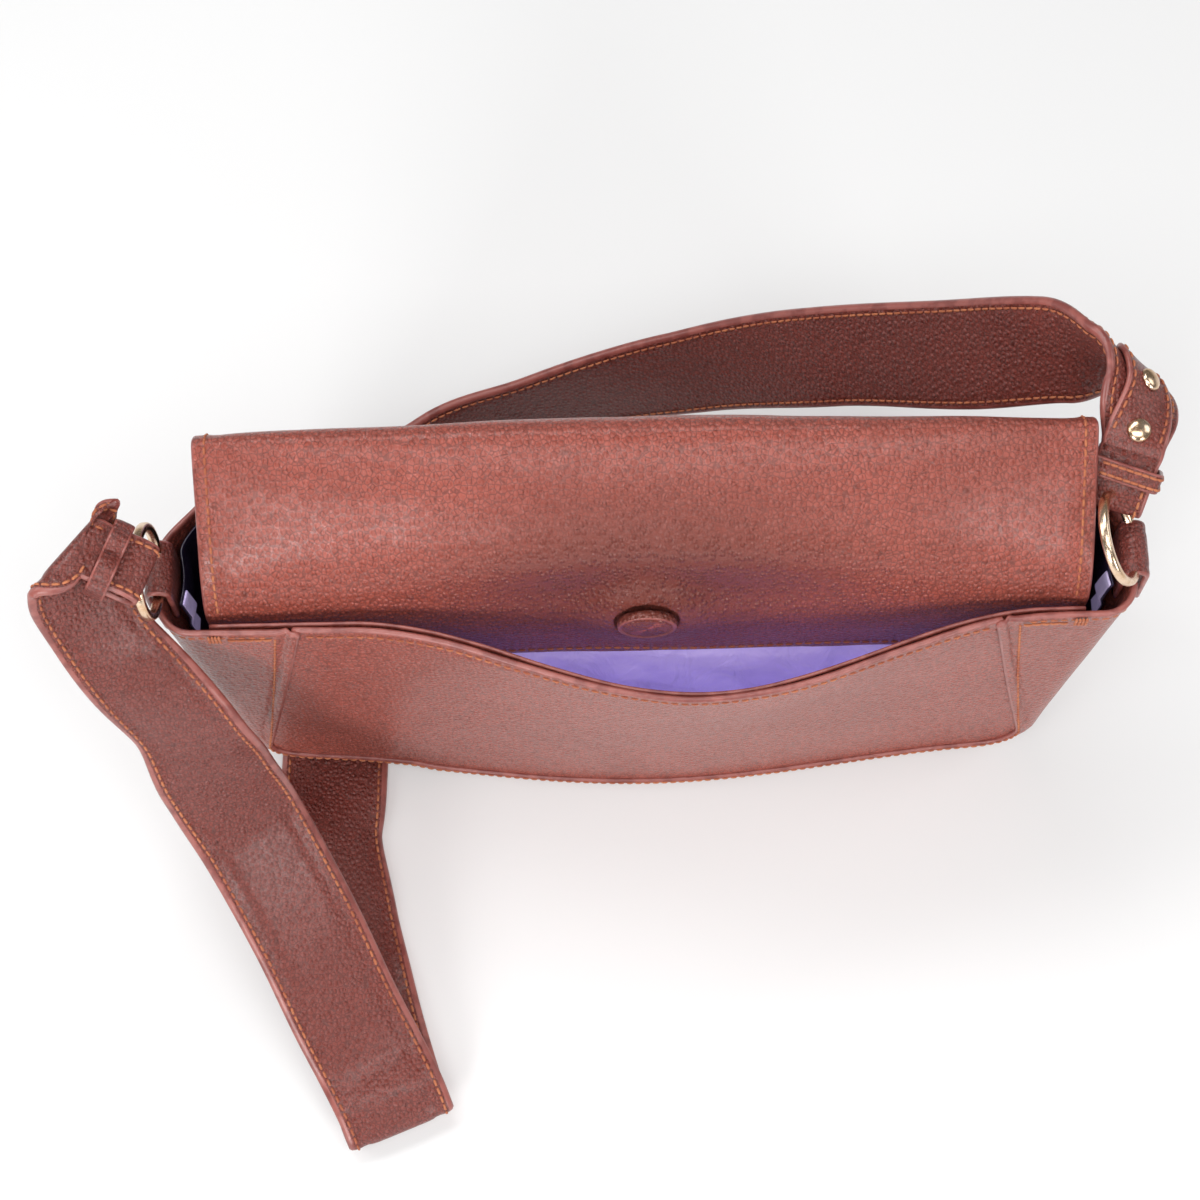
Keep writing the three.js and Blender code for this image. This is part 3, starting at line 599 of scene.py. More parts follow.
class Looks:
    """A node tree that is written as short calls."""

    def __init__(self, name):
        self.material = bpy.data.materials.new(name)
        self.material.use_nodes = True
        self.tree = self.material.node_tree
        self.tree.nodes.clear()
        self.surface = self.add("ShaderNodeBsdfPrincipled")
        output = self.add("ShaderNodeOutputMaterial")
        self.join(self.surface, "BSDF", output, "Surface")
        self.place = self.add("ShaderNodeTexCoord")

    def add(self, kind, **settings):
        made = self.tree.nodes.new(kind)
        for key, value in settings.items():
            setattr(made, key, value)
        return made

    def join(self, a, output, b, entry):
        self.tree.links.new(a.outputs[output], b.inputs[entry])

    def scaled(self, scale, turn=(0, 0, 0)):
        mapping = self.add("ShaderNodeMapping")
        mapping.inputs["Scale"].default_value = scale
        mapping.inputs["Rotation"].default_value = turn
        self.join(self.place, "Object", mapping, "Vector")
        return mapping

    def noise(self, size, detail=4.0, roughness=0.55, stretch=(1, 1, 1), turn=(0, 0, 0), distortion=0.0):
        """Noise with bumps of about the given size in metres."""
        mapping = self.scaled(stretch, turn)
        made = self.add("ShaderNodeTexNoise")
        made.inputs["Scale"].default_value = 1 / size
        made.inputs["Detail"].default_value = detail
        made.inputs["Roughness"].default_value = roughness
        made.inputs["Distortion"].default_value = distortion
        self.join(mapping, "Vector", made, "Vector")
        return made

    def cells(self, size, feature, stretch=(1, 1, 1), randomness=1.0):
        mapping = self.scaled(stretch)
        made = self.add("ShaderNodeTexVoronoi", feature=feature)
        made.inputs["Scale"].default_value = 1 / size
        made.inputs["Randomness"].default_value = randomness
        self.join(mapping, "Vector", made, "Vector")
        return made

    def ramp(self, source, output, low, high, at_low=0.0, at_high=1.0):
        made = self.add("ShaderNodeMapRange", interpolation_type="SMOOTHSTEP")
        made.inputs["From Min"].default_value = low
        made.inputs["From Max"].default_value = high
        made.inputs["To Min"].default_value = at_low
        made.inputs["To Max"].default_value = at_high
        self.join(source, output, made, "Value")
        return made

    def blend(self, factor, output, first, second):
        """Mixes two colours; each is a colour or a (node, output) pair."""
        made = self.add("ShaderNodeMix", data_type="RGBA")
        self.join(factor, output, made, "Factor")
        for entry, value in ((6, first), (7, second)):
            if isinstance(value[0], bpy.types.Node):
                self.tree.links.new(value[0].outputs[value[1]], made.inputs[entry])
            else:
                made.inputs[entry].default_value = value
        return made, 2

    def colour(self, pair):
        self.tree.links.new(pair[0].outputs[pair[1]], self.surface.inputs["Base Color"])

    def bump(self, source, output, height, before=None):
        made = self.add("ShaderNodeBump")
        made.inputs["Strength"].default_value = 1.0
        made.inputs["Distance"].default_value = height
        self.join(source, output, made, "Height")
        if before:
            self.join(before, "Normal", made, "Normal")
        return made

    def normal(self, bump):
        self.join(bump, "Normal", self.surface, "Normal")

    def set(self, **values):
        for key, value in values.items():
            self.surface.inputs[key.replace("_", " ").title().replace("Ior", "IOR")].default_value = value

    def patch(self, middle, reach):
        """1 in the middle of an ellipsoid, fading to 0 at its surface."""
        mapping = self.add("ShaderNodeMapping")
        mapping.inputs["Location"].default_value = [-m / r for m, r in zip(middle, reach)]
        mapping.inputs["Scale"].default_value = [1 / r for r in reach]
        self.join(self.place, "Object", mapping, "Vector")
        made = self.add("ShaderNodeTexGradient", gradient_type="SPHERICAL")
        self.join(mapping, "Vector", made, "Vector")
        return self.ramp(made, "Fac", 0.0, 0.8)

    def edges(self, low, high):
        """Where the surface is worn: the sharp outer edges."""
        geometry = self.add("ShaderNodeNewGeometry")
        return self.ramp(geometry, "Pointiness", low, high)


# ---------------------------------------------------------------- materials
GRAIN = 0.0021


def leather_material(name, tone, gloss=0.33, grain_height=0.0008, grain=GRAIN, painted_shade=None):
    """Pebbled leather: domed pebbles with thin dark valleys, slow drifts of colour, and worn, paler edges.

    The last argument gives the middle and the reach, in metres, of a patch of painted shade: darker colour
    that stands in for the shade on the wall above the magnet.
    """
    def shade(share):
        return tuple(channel * share for channel in tone[:3]) + (1.0,)

    looks = Looks(name)
    stretch = (1.1, 1.0, 0.85)
    borders = looks.cells(grain, "DISTANCE_TO_EDGE", stretch, 0.8)
    pebbles = looks.cells(grain, "F1", stretch, 0.8)
    creases = looks.cells(grain * 0.5, "DISTANCE_TO_EDGE")
    fine = looks.noise(grain * 0.16, detail=3.0)
    clouds = looks.noise(0.06, detail=2.0, distortion=0.3)
    drift = looks.ramp(clouds, "Fac", 0.3, 0.7)
    base = looks.blend(drift, "Result", shade(0.92), shade(1.08))
    top = looks.ramp(borders, "Distance", 0.01, 0.14)
    base = looks.blend(top, "Result", shade(0.52), base)
    # Painted shade: inside the patch the colour drops to half, standing in for the shade on the wall above
    # the magnet.
    if painted_shade:
        patch = looks.patch(*painted_shade)
        base = looks.blend(patch, "Result", base, shade(0.5))
    wear = looks.edges(0.54, 0.64)
    base = looks.blend(wear, "Result", base, shade(1.4))
    looks.colour(base)
    rough = looks.ramp(fine, "Fac", 0.3, 0.7, gloss - 0.06, gloss + 0.08)
    looks.join(rough, "Result", looks.surface, "Roughness")
    dome = looks.ramp(pebbles, "Distance", 0.0, 0.62, 1.0, 0.0)
    crease = looks.ramp(creases, "Distance", 0.0, 0.12)
    first = looks.bump(dome, "Result", grain_height)
    second = looks.bump(crease, "Result", grain_height * 0.16, first)
    third = looks.bump(fine, "Fac", grain_height * 0.04, second)
    looks.normal(third)
    looks.set(specular_ior_level=0.5, coat_weight=0.15, coat_roughness=0.22)
    looks.set(sheen_weight=0.03, sheen_roughness=0.4)
    looks.surface.inputs["Sheen Tint"].default_value = srgb(225, 190, 200)
    return looks.material


def edge_material():
    """The painted edges: smooth and pinkish, with small bare spots."""
    looks = Looks("edge_paint")
    patches = looks.noise(0.006, detail=5.0)
    spots = looks.ramp(patches, "Fac", 0.42, 0.62)
    looks.colour(looks.blend(spots, "Result", srgb(150, 84, 76), srgb(124, 62, 56)))
    fine = looks.noise(0.0008)
    looks.normal(looks.bump(fine, "Fac", 0.00012))
    looks.set(roughness=0.36, coat_weight=0.25, coat_roughness=0.25)
    return looks.material


def satin_material(name, low, high, painted_glow):
    """Woven satin: fine threads, soft folds and slow drifts between two tones, with a glow in the low tone
    that is painted light.
    """
    looks = Looks(name)
    threads = looks.noise(0.0006, detail=2.0, stretch=(1, 1, 6))
    shade = looks.noise(0.03, detail=3.0)
    drift = looks.ramp(shade, "Fac", 0.35, 0.65)
    looks.colour(looks.blend(drift, "Result", low, high))
    folds = looks.noise(0.018, detail=3.0, stretch=(1.3, 1, 0.5), turn=(0, 0.5, 0), distortion=1.2)
    first = looks.bump(folds, "Fac", 0.003)
    looks.normal(looks.bump(threads, "Fac", 0.00006, first))
    looks.set(roughness=0.32, anisotropic=0.5, specular_ior_level=0.6)
    looks.set(sheen_weight=0.35, sheen_roughness=0.3)
    looks.surface.inputs["Sheen Tint"].default_value = high
    # Painted light: the satin glows in its low tone, standing in for light that reaches into the pocket.
    looks.surface.inputs["Emission Color"].default_value = low
    looks.surface.inputs["Emission Strength"].default_value = painted_glow
    return looks.material


def gold_material():
    looks = Looks("pale_gold")
    scratches = looks.noise(0.0012, detail=4.0, stretch=(1, 1, 9))
    tarnish = looks.noise(0.006, detail=4.0)
    drift = looks.ramp(tarnish, "Fac", 0.4, 0.65)
    looks.colour(looks.blend(drift, "Result", srgb(232, 205, 178), srgb(214, 178, 142)))
    rough = looks.ramp(scratches, "Fac", 0.3, 0.7, 0.14, 0.3)
    looks.join(rough, "Result", looks.surface, "Roughness")
    looks.normal(looks.bump(scratches, "Fac", 0.00002))
    looks.set(metallic=1.0)
    return looks.material


def steel_material():
    looks = Looks("magnet_steel")
    brushed = looks.noise(0.0009, detail=3.0, stretch=(8, 1, 1))
    looks.colour(looks.blend(brushed, "Fac", srgb(150, 150, 154), srgb(112, 112, 118)))
    looks.normal(looks.bump(brushed, "Fac", 0.00002))
    looks.set(metallic=1.0, roughness=0.35)
    return looks.material


def board_material():
    looks = Looks("board")
    fibres = looks.noise(0.002, detail=6.0)
    looks.colour(looks.blend(fibres, "Fac", srgb(30, 26, 26), srgb(64, 56, 54)))
    looks.normal(looks.bump(fibres, "Fac", 0.0001))
    looks.set(roughness=0.85)
    return looks.material


def thread_material():
    looks = Looks("thread")
    twist = looks.noise(0.0004, detail=2.0)
    along = looks.noise(0.02, detail=2.0)
    drift = looks.ramp(along, "Fac", 0.35, 0.65)
    base = looks.blend(drift, "Result", srgb(180, 98, 60), srgb(218, 136, 88))
    looks.colour(looks.blend(twist, "Fac", base, srgb(128, 64, 44)))
    looks.normal(looks.bump(twist, "Fac", 0.00014))
    looks.set(roughness=0.65, sheen_weight=0.05)
    return looks.material


def floor_material():
    looks = Looks("studio_floor")
    haze = looks.noise(0.3, detail=2.0)
    looks.colour(looks.blend(haze, "Fac", srgb(206, 206, 206), srgb(212, 212, 212)))
    looks.set(roughness=0.7, specular_ior_level=0.2, emission_strength=0.2)
    looks.surface.inputs["Emission Color"].default_value = (1, 1, 1, 1)
    return looks.material


BODY_TONE = srgb(160, 78, 64)
BODY_LEATHER = leather_material("body_leather", BODY_TONE)
# Painted shade on the back wall above the magnet: the middle and the reach, in metres, of the darkened patch.
PAINTED_SHADE_PATCH = ((0.0, -0.02, 0.17), (0.095, 0.055, 0.055))
WALL_LEATHER_PAINTED_SHADE = leather_material("wall_leather_painted_shade", BODY_TONE, painted_shade=PAINTED_SHADE_PATCH)
# Painted shade: the strap takes the body's leather in a darker tone, standing in for the shade on its runs.
STRAP_LEATHER_PAINTED_SHADE = leather_material("strap_leather", srgb(128, 59, 50), grain_height=0.0007, grain=0.0019)
EDGE = edge_material()
# Painted light: the pocket satin's tones are paler than the satin's own purple and it glows, standing in for
# light that reaches into the pocket and under the flap.
SATIN_PAINTED_LIGHT = satin_material("satin", srgb(196, 180, 234), srgb(224, 212, 250), painted_glow=0.15)
# Painted shade: the main compartment's lining is a near-black copy of the satin, standing in for the shade
# inside the compartment.
PAINTED_SHADE_SATIN = satin_material("painted_shade_satin", srgb(30, 24, 42), srgb(46, 38, 62), painted_glow=0.0)
GOLD = gold_material()
STEEL = steel_material()
BOARD = board_material()
THREAD = thread_material()
BODY = [BODY_LEATHER, EDGE, BODY_LEATHER]
WALL = [WALL_LEATHER_PAINTED_SHADE, EDGE, WALL_LEATHER_PAINTED_SHADE]
CLOTH_SET = [SATIN_PAINTED_LIGHT] * 3
PAINTED_SHADE_SET = [PAINTED_SHADE_SATIN] * 3
STRAP = [STRAP_LEATHER_PAINTED_SHADE, EDGE, STRAP_LEATHER_PAINTED_SHADE]


def dress(piece, slot, body, *nodes):
    """Gives a finished piece its body and the CAD nodes it stands for; the slot is not used."""
    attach(piece, body)
    if nodes:
        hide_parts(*nodes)
    return piece


# ---------------------------------------------------------------- the bag's body
BEHIND_PANEL = 2.55
BEHIND_FACING = 4.3
SEAM_TUCK = 1.6
PANEL_SINK = 0.5
EAR_MARGIN = 0.7
WELT_WIDTH, WELT_HEIGHT = 2.6, 0.9
GUSSET_COURSE = 602.0  # the gusset's length from rim to rim
PANEL_HEIGHT = 148.0
# Where the gusset's seams run: shares of its width, and of its length from either rim.
EAR_SEAM, FRONT_SEAM, RIM_SEAM = 0.955, 0.1, 0.0058


def slouch(point, amount):
    """The soft unevenness of worn leather."""
    broad = wave(point, 62.0, 1)
    narrow = wave(point, 23.0, 5)
    return amount * (0.75 * broad + 0.25 * narrow)


def gusset_surface(u, v):
    return shaped(gusset_section(u, 1 - v))


def gusset_bump(point, u, v):
    t = 1 - v
    z = outline(u)[1]
    corner = mix(CORNER_BASE, CORNER_RIM, z / RIM_HEIGHT)
    rise = slouch(point, 0.9) * smooth(z, 10, 60)
    if t < LAP_SHARE:
        from_edge = t / LAP_SHARE * max(ear_lap(z) - corner, 2.0)
        rise += WELT_HEIGHT * (1 - smooth(from_edge, WELT_WIDTH * 0.7, WELT_WIDTH * 1.3))
        rise -= 0.5 * bell(from_edge - WELT_WIDTH - 1.2, 1.1)
    from_rim = min(u, 1 - u) * GUSSET_COURSE
    rise += 0.5 * (1 - smooth(from_rim, 1.5, 4.0))
    return rise


def build_gusset():
    us = fine_ends(110, 0.02, 6)
    vs = steps(46, 0, 0.78) + steps(26, 0.78, 0.97)[1:] + steps(12, 0.97, 1)[1:]
    piece = sheet("gusset_leather", gusset_surface, us, vs, LEATHER, BODY, bump=gusset_bump)
    dress(piece, "leather", "root", "gusset")
    down = [(u, EAR_SEAM) for u in steps(300, 0.006, 0.994)]
    sew("gusset_ear_stitches", gusset_surface, down, gusset_bump)
    for name, u in (("left", RIM_SEAM), ("right", 1 - RIM_SEAM)):
        around = [(u, v) for v in steps(60, 0.06, 0.95)]
        sew(f"gusset_{name}_rim_stitches", gusset_surface, around, gusset_bump)


def rear_edge(z):
    return inset_half(z, ear_lap(z) + EAR_MARGIN) + SEAM_TUCK


def rear_surface(u, v):
    low = EAR_BASE + EAR_MARGIN - SEAM_TUCK
    reach = rear_edge(mix(low, RIM_HEIGHT, v))
    x = mix(-reach, reach, u)
    z = mix(low, rim_height(x), v)
    return shaped(Vector((x, near_face(x, z) + PANEL_SINK, z)))


def rear_bump(point, u, v):
    away = smooth(v, 0, 0.12) * smooth(min(u, 1 - u), 0, 0.06)
    rise = slouch(point, 1.5) * away
    below_rim = (1 - v) * PANEL_HEIGHT
    rise += 0.55 * (1 - smooth(below_rim, 4.5, 7.5))
    rise -= 0.3 * bell(below_rim - 7.6, 1.6)
    return rise


def build_rear_panel():
    us = fine_ends(120, 0.02, 4)
    vs = steps(60, 0, 0.93) + steps(20, 0.93, 1)[1:]
    piece = sheet("rear_panel_leather", rear_surface, us, vs, LEATHER, BODY, bump=rear_bump)
    dress(piece, "leather", "root", "rear_panel")
    row = [(u, 1 - STITCH_IN / PANEL_HEIGHT) for u in steps(220, 0.008, 0.992)]
    sew("rim_stitches", rear_surface, row, rear_bump)


FACING_DEPTH, FACING_THICKNESS = 20.0, 1.4
FACING_HALF = WALL_HALF - 1


def facing_surface(u, v):
    x = mix(-FACING_HALF, FACING_HALF, u)
    z = rim_height(x) - 0.6 - (1 - v) * FACING_DEPTH
    return Vector((x, near_face(x, z) + BEHIND_PANEL, z))


def facing_bump(point, u, v):
    return 0.15 * wave(point, 18.0, 7)


def build_facing():
    us, vs = fine_ends(110), steps(10)
    piece = sheet("rim_facing_leather", facing_surface, us, vs, FACING_THICKNESS, BODY, bump=facing_bump)
    dress(piece, "leather", "root", "rear_rim_facing")


def wrinkles(point, amount, seed):
    """Diagonal folds in the satin."""
    leaning = Vector((point.x * 0.8 + point.z * 0.5, point.z * 0.35 - point.x * 0.1, 0))
    ridges = 1 - abs(wave(leaning, 24.0, seed)) * 2
    small = 1 - abs(wave(leaning, 10.0, seed + 3)) * 2
    return amount * (0.7 * ridges + 0.3 * small)


LINING_FLOOR = 9.5
LINING_BELOW_RIM = 14.0
OVER_TAB = 3.4
POCKET_MARGIN, MAIN_MARGIN = 10.0, 14.0
POCKET_WALL_Y, MAIN_REAR_Y, MAIN_SIDE_END = -29.4, -26.7, -25.2


def pocket_half(z):
    return min(inset_half(z, POCKET_MARGIN), WALL_HALF - 1)


def pocket_panel_surface(u, v):
    reach = pocket_half(mix(LINING_FLOOR, RIM_HEIGHT, v))
    x = mix(-reach, reach, u)
    z = mix(LINING_FLOOR, rim_height(x) - LINING_BELOW_RIM, v)
    return shaped(Vector((x, near_face(x, z) + BEHIND_FACING, z)))


def pocket_panel_bump(point, u, v):
    return -max(wrinkles(point, 1.2, 2), 0) * smooth(min(u, 1 - u, v, 1 - v), 0, 0.1)


def pocket_wall_surface(u, v):
    z = mix(LINING_FLOOR, POCKET_SEAM + 0.4, v)
    half = pocket_half(z)
    return Vector((mix(-half, half, u), POCKET_WALL_Y, z))


def pocket_wall_bump(point, u, v):
    return max(wrinkles(point, 2.4, 9), 0) * smooth(min(u, 1 - u, v, 1 - v), 0, 0.08)


def main_half(z):
    return inset_half(z, MAIN_MARGIN)


def main_rear_surface(u, v):
    z = mix(LINING_FLOOR, RIM_HEIGHT - 6, v)
    half = min(main_half(z), WALL_HALF - 4)
    return Vector((mix(-half, half, u), MAIN_REAR_Y, z))


def front_surface(step, half_at, low, high):
    def surface(u, v):
        z = mix(low, high, v)
        reach = half_at(z)
        x = mix(reach, -reach, u)
        return shaped(Vector((x, far_face(x, z) - step, z)))
    return surface


def main_gusset_surface(u, v):
    x, z, inward = outline(mix(0.006, 0.994, u))
    depth = mix(LINING_FLOOR, LEATHER + 1.75, smooth(z, 0, BASE_CORNER))
    px, pz = x + inward.x * depth, z + inward.z * depth
    y = mix(far_face(px, pz) - CORNER_RIM, MAIN_SIDE_END, v)
    px += inward.x * OVER_TAB * bell(y - LEFT_BAR.y, TAB_WIDTH * 0.7) * smooth(z, 134, 144)
    return shaped(Vector((px, y, pz)))


CORNER_LINING = 0.87  # share of the side's depth that shows dark before the satin corner starts


def lining_corner(start, end):
    """The satin that shows inside the rim's near corners."""
    def surface(u, v):
        point = main_gusset_surface(mix(start, end, u), mix(CORNER_LINING, 1.0, v))
        point.x -= math.copysign(CLOTH + 0.3, point.x)
        return point
    return surface


def lining(name, surface, columns, rows, node, bump, materials=CLOTH_SET):
    piece = sheet(name, surface, steps(columns), steps(rows), CLOTH, materials, bump=bump)
    dress(piece, "satin", "root", *([node] if node else []))


def quiet_folds(point, u, v):
    return -max(wrinkles(point, 0.5, 4), 0)


def build_linings():
    lining("pocket_lining_front", pocket_panel_surface, 110, 70, "pocket_lining_panel", pocket_panel_bump)
    lining("pocket_lining_back", pocket_wall_surface, 130, 70, "pocket_lining_wall", pocket_wall_bump)
    # The main compartment's linings take the near-black satin of painted shade.
    lining("main_lining_back", main_rear_surface, 60, 40, "main_lining_rear", quiet_folds, PAINTED_SHADE_SET)
    inside = front_surface(BEHIND_PANEL, main_half, LINING_FLOOR, FRONT_TOP - 2)
    lining("main_lining_face", inside, 70, 50, "main_lining_front", quiet_folds, PAINTED_SHADE_SET)
    lining("main_lining_sides", main_gusset_surface, 120, 16, "main_lining_gusset", quiet_folds, PAINTED_SHADE_SET)
    for name, start, end in (("left", 0.0, 0.05), ("right", 0.95, 1.0)):
        corner = lining_corner(start, end)
        lining(f"lining_{name}_corner", corner, 16, 8, None, quiet_folds)


FRONT_STITCH_IN, FRONT_HEIGHT = 4.0, 158.0


def front_half(z):
    lap = mix(CORNER_BASE + FRONT_LAP, CORNER_RIM + FRONT_LAP, z / RIM_HEIGHT)
    return inset_half(z, lap + 0.35) + 1.2


def front_bump(point, u, v):
    return slouch(point, 0.7) - PANEL_SINK


def build_front_panel():
    surface = front_surface(0, front_half, CORNER_BASE + FRONT_LAP - 0.5, FRONT_TOP)
    us, vs = fine_ends(90), fine_ends(50)
    piece = sheet("front_panel_leather", surface, us, vs, LEATHER, BODY, bump=front_bump)
    dress(piece, "leather", "root", "front_panel")
    below_rim = 1 - FRONT_STITCH_IN / FRONT_HEIGHT
    top = [(u, below_rim) for u in steps(120, 0.01, 0.99)]
    sew("front_rim_stitches", surface, top, front_bump)
    bottom = [(u, FRONT_SEAM) for u in steps(200, 0.01, 0.99)]
    sew("front_seam_stitches", gusset_surface, bottom, gusset_bump)


# ---------------------------------------------------------------- back wall and flap in one leather piece
MOUND, DISH, BROW = 2.1, 4.0, 3.2  # the soft swells round the magnet, below it and above it
DISH_Z, BROW_Z = 160.0, 187.0
FLAP_LENGTH = 180.0
COVER_RADIUS = 10.4


def cover_bump(point, u, v):
    rise = slouch(point, 1.1)
    side_edge = WALL_HALF - abs(point.x)
    rise *= smooth(side_edge, 0, 14)
    if v < WALL_SHARE:
        away = math.hypot(point.x, point.z - MAGNET_Z)
        rise *= smooth(away, 10, 34)
        rise += MOUND * smooth(away, COVER_RADIUS + 0.1, COVER_RADIUS + 1.3) * (1 - smooth(away, 13, 30))
        rise -= DISH * bell(point.x, 58) * bell(point.z - DISH_Z, 13) * smooth(away, 12, 26)
        rise += BROW * bell(point.x, 66) * bell(point.z - BROW_Z, 15)
        rise *= smooth(v, 0, 0.05)
    rise += 0.35 * (1 - smooth(side_edge, 4.5, 7.0))
    return rise


def build_cover():
    us = fine_ends(112, 0.02, 4)
    us = sorted(set(u for u in us if abs(u - 0.5) > 0.045) | set(steps(46, 0.455, 0.545)))
    vs = steps(8, 0, 0.055) + steps(50, 0.055, 0.16)[1:] + steps(62, 0.16, WALL_SHARE)[1:]
    vs += steps(64, WALL_SHARE, 0.995)[1:] + steps(4, 0.995, 1)[1:]
    piece = sheet("back_wall_and_flap", cover_point, us, vs, LEATHER, WALL, bump=cover_bump)
    fold(piece, "leather", "back_wall", "flap")
    inside = sheet("flap_satin", flap_lining_point, steps(70), steps(60), CLOTH, CLOTH_SET, bump=quiet_folds)
    fold(inside, "satin", "flap_lining")
    margin = STITCH_IN / (2 * WALL_HALF)
    for name, u in (("left", margin), ("right", 1 - margin)):
        row = [(u, v) for v in steps(260, 0.12, 0.995)]
        fold(stitch_row(f"flap_{name}_stitches", cover_point, row, cover_bump), "thread")
    bottom = [(u, 1 - STITCH_IN / FLAP_LENGTH) for u in steps(160, 0.03, 0.97)]
    fold(stitch_row("flap_bottom_stitches", cover_point, bottom, cover_bump), "thread")
    seam = [(u, 0.022) for u in steps(260, 0.01, 0.99)]
    sew("pocket_seam_stitches", cover_point, seam, cover_bump)


def fold(piece, slot, *nodes):
    """Bakes a piece's placement into its mesh and hides the CAD nodes it stands for."""
    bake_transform(piece)
    if nodes:
        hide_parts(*nodes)


def flap_lining_point(u, v):
    margin = 1.5
    z = mix(HINGE_Z - 1.0, FLAP_DROP + margin, v)
    return flap_point(u, z, margin, LEATHER + 0.35)


# ---------------------------------------------------------------- magnets and snap
def build_closures():
    near = Vector((0, -1, 0))
    place = Vector((0, box("wall_magnet")[1].y, MAGNET_Z))
    cup = [(0, 2.6), (7.4, 2.55), (8.0, 2.3), (8.4, 1.9), (8.8, 2.0), (9.2, 2.4), (9.7, 2.45), (10.2, 2.1),
           (10.4, 1.2), (10.4, -0.6), (8.7, -0.6), (8.6, 1.2), (0, 1.25)]
    worn = [0, 0, 0, 0, 1, 1, 1, 0, 0, 0, 0, 0]
    cover = lathe("magnet_leather", cup, place, near, [WALL_LEATHER_PAINTED_SHADE, EDGE], indices=worn)
    dress(cover, "leather", "root", "magnet_cover")

    def steel_disc(name, node, radius, direction):
        low, high = box(node)
        thickness = 1.1
        centre = (low + high) / 2 - direction * thickness / 2
        lower = [(0, 0), (radius - 0.3, 0), (radius, 0.3)]
        upper = [(radius, thickness - 0.3), (radius - 0.3, thickness), (0, thickness)]
        dress(lathe(name, lower + upper, centre, direction, [STEEL]), "steel", "root", node)

    steel_disc("wall_magnet_disc", "wall_magnet", 8.2, near)
    steel_disc("panel_magnet_disc", "panel_magnet", 7.0, Vector((0, 1, 0.2)).normalized())
    snap = [(0, 0), (8.7, 0), (9, 0.3), (9, 1.4), (8.7, 1.7)]
    snap += [(5.2, 1.7), (4.9, 1.45), (4.0, 1.45), (3.8, 1.7)]
    hollow = [(3.35, 1.7), (3.35, 0.6), (0, 0.6)]
    stub = [(3.0, 1.7), (2.8, 2.5), (0, 2.6)]
    low, high = box("snap_socket")
    socket_at = Vector(((low.x + high.x) / 2, low.y + 0.2, (low.z + high.z) / 2))
    socket = lathe("snap_socket_gold", snap + hollow, socket_at, Vector((0, 1, 0.08)), [GOLD])
    dress(socket, "gold", "root", "snap_socket")
    low, high = box("snap_plate")
    plate_at = Vector(((low.x + high.x) / 2, high.y, (low.z + high.z) / 2))
    plate = lathe("snap_plate_gold", snap + stub, plate_at, near, [GOLD])
    dress(plate, "gold", "flap", "snap_plate")


# ---------------------------------------------------------------- rings and tabs
RING_RADIUS, RING_WIRE = 15.0, 1.9
TAB_WIDTH, TAB_THICKNESS, TAB_INSIDE, TAB_OUTER_LEG, TAB_INNER_LEG = 20.0, 2.0, 2.6, 19.0, 19.0
RING_SEGMENTS = 96
LEFT_LEAN = Vector((-0.09, -0.35, 0.93)).normalized()
RIGHT_LEAN = Vector((-0.5, 0, 0.866)).normalized()
LEFT_BAR = Vector((-165.5, -17, 166))
RIGHT_BAR = Vector((165.5, -17, 166))
LEFT_CENTRE = LEFT_BAR + LEFT_LEAN * RING_RADIUS
RIGHT_CENTRE = RIGHT_BAR + RIGHT_LEAN * RING_RADIUS
RIGHT_RING_PLAY = Vector((0.5, 0, 0))  # the ring hangs a little outward in its tab


def squared(x):
    """Pushes a circle's coordinate outward, which gives the wire its flattened sides."""
    return math.copysign(abs(x) ** 0.7, x)


def build_ring(name, node, centre, lean):
    along = (Vector((0, 1, 0)) - lean * lean.y).normalized()
    through = along.cross(lean)
    points, faces = [], []
    sides = 20
    for k in range(RING_SEGMENTS):
        turn = 2 * math.pi * k / RING_SEGMENTS
        out = along * math.cos(turn) + lean * math.sin(turn)
        for m in range(sides):
            angle = 2 * math.pi * m / sides
            radial = RING_WIRE * 0.84 * squared(math.cos(angle))
            axial = RING_WIRE * 0.9 * squared(math.sin(angle))
            points.append(centre + out * (RING_RADIUS + radial) + through * axial)
    for k in range(RING_SEGMENTS):
        a, b = k * sides, (k + 1) % RING_SEGMENTS * sides
        for m in range(sides):
            n = (m + 1) % sides
            faces.append((a + m, b + m, b + n, a + n))
    dress(new_object(name, points, faces, [GOLD]), "gold", node, node)


def build_tab(side, bar, name, node):
    radius = TAB_INSIDE + TAB_THICKNESS / 2
    across = Vector((0, side, 0))
    path = [Vector((side * radius, 0, z)) for z in steps(14, -TAB_OUTER_LEG, 0)]
    for k in range(1, 16):
        turn = math.pi * k / 16
        path.append(Vector((side * radius * math.cos(turn), 0, radius * math.sin(turn))))
    path += [Vector((-side * radius, 0, z)) for z in steps(10, 0, -TAB_INNER_LEG)]
    frames = []
    for k, point in enumerate(path):
        tangent = (path[min(k + 1, len(path) - 1)] - path[max(k - 1, 0)]).normalized()
        frames.append((bar + point, across, tangent.cross(across), TAB_WIDTH, TAB_THICKNESS))
    piece = ribbon(name, frames, STRAP, crown=0.2, seam=0.2)
    dress(piece, "leather", "root", node)
    faces = (outside(frames[0], side),)
    rows = ribbon_rows(f"{name}_stitches", frames[:14], margin=2.6, faces=faces, lift=0.05)
    dress(rows, "thread", "root")


def outside(frame_here, side):
    """Which face of a strip looks away from the bag: 1 or -1."""
    return 1 if frame_here[2].x * side > 0 else -1


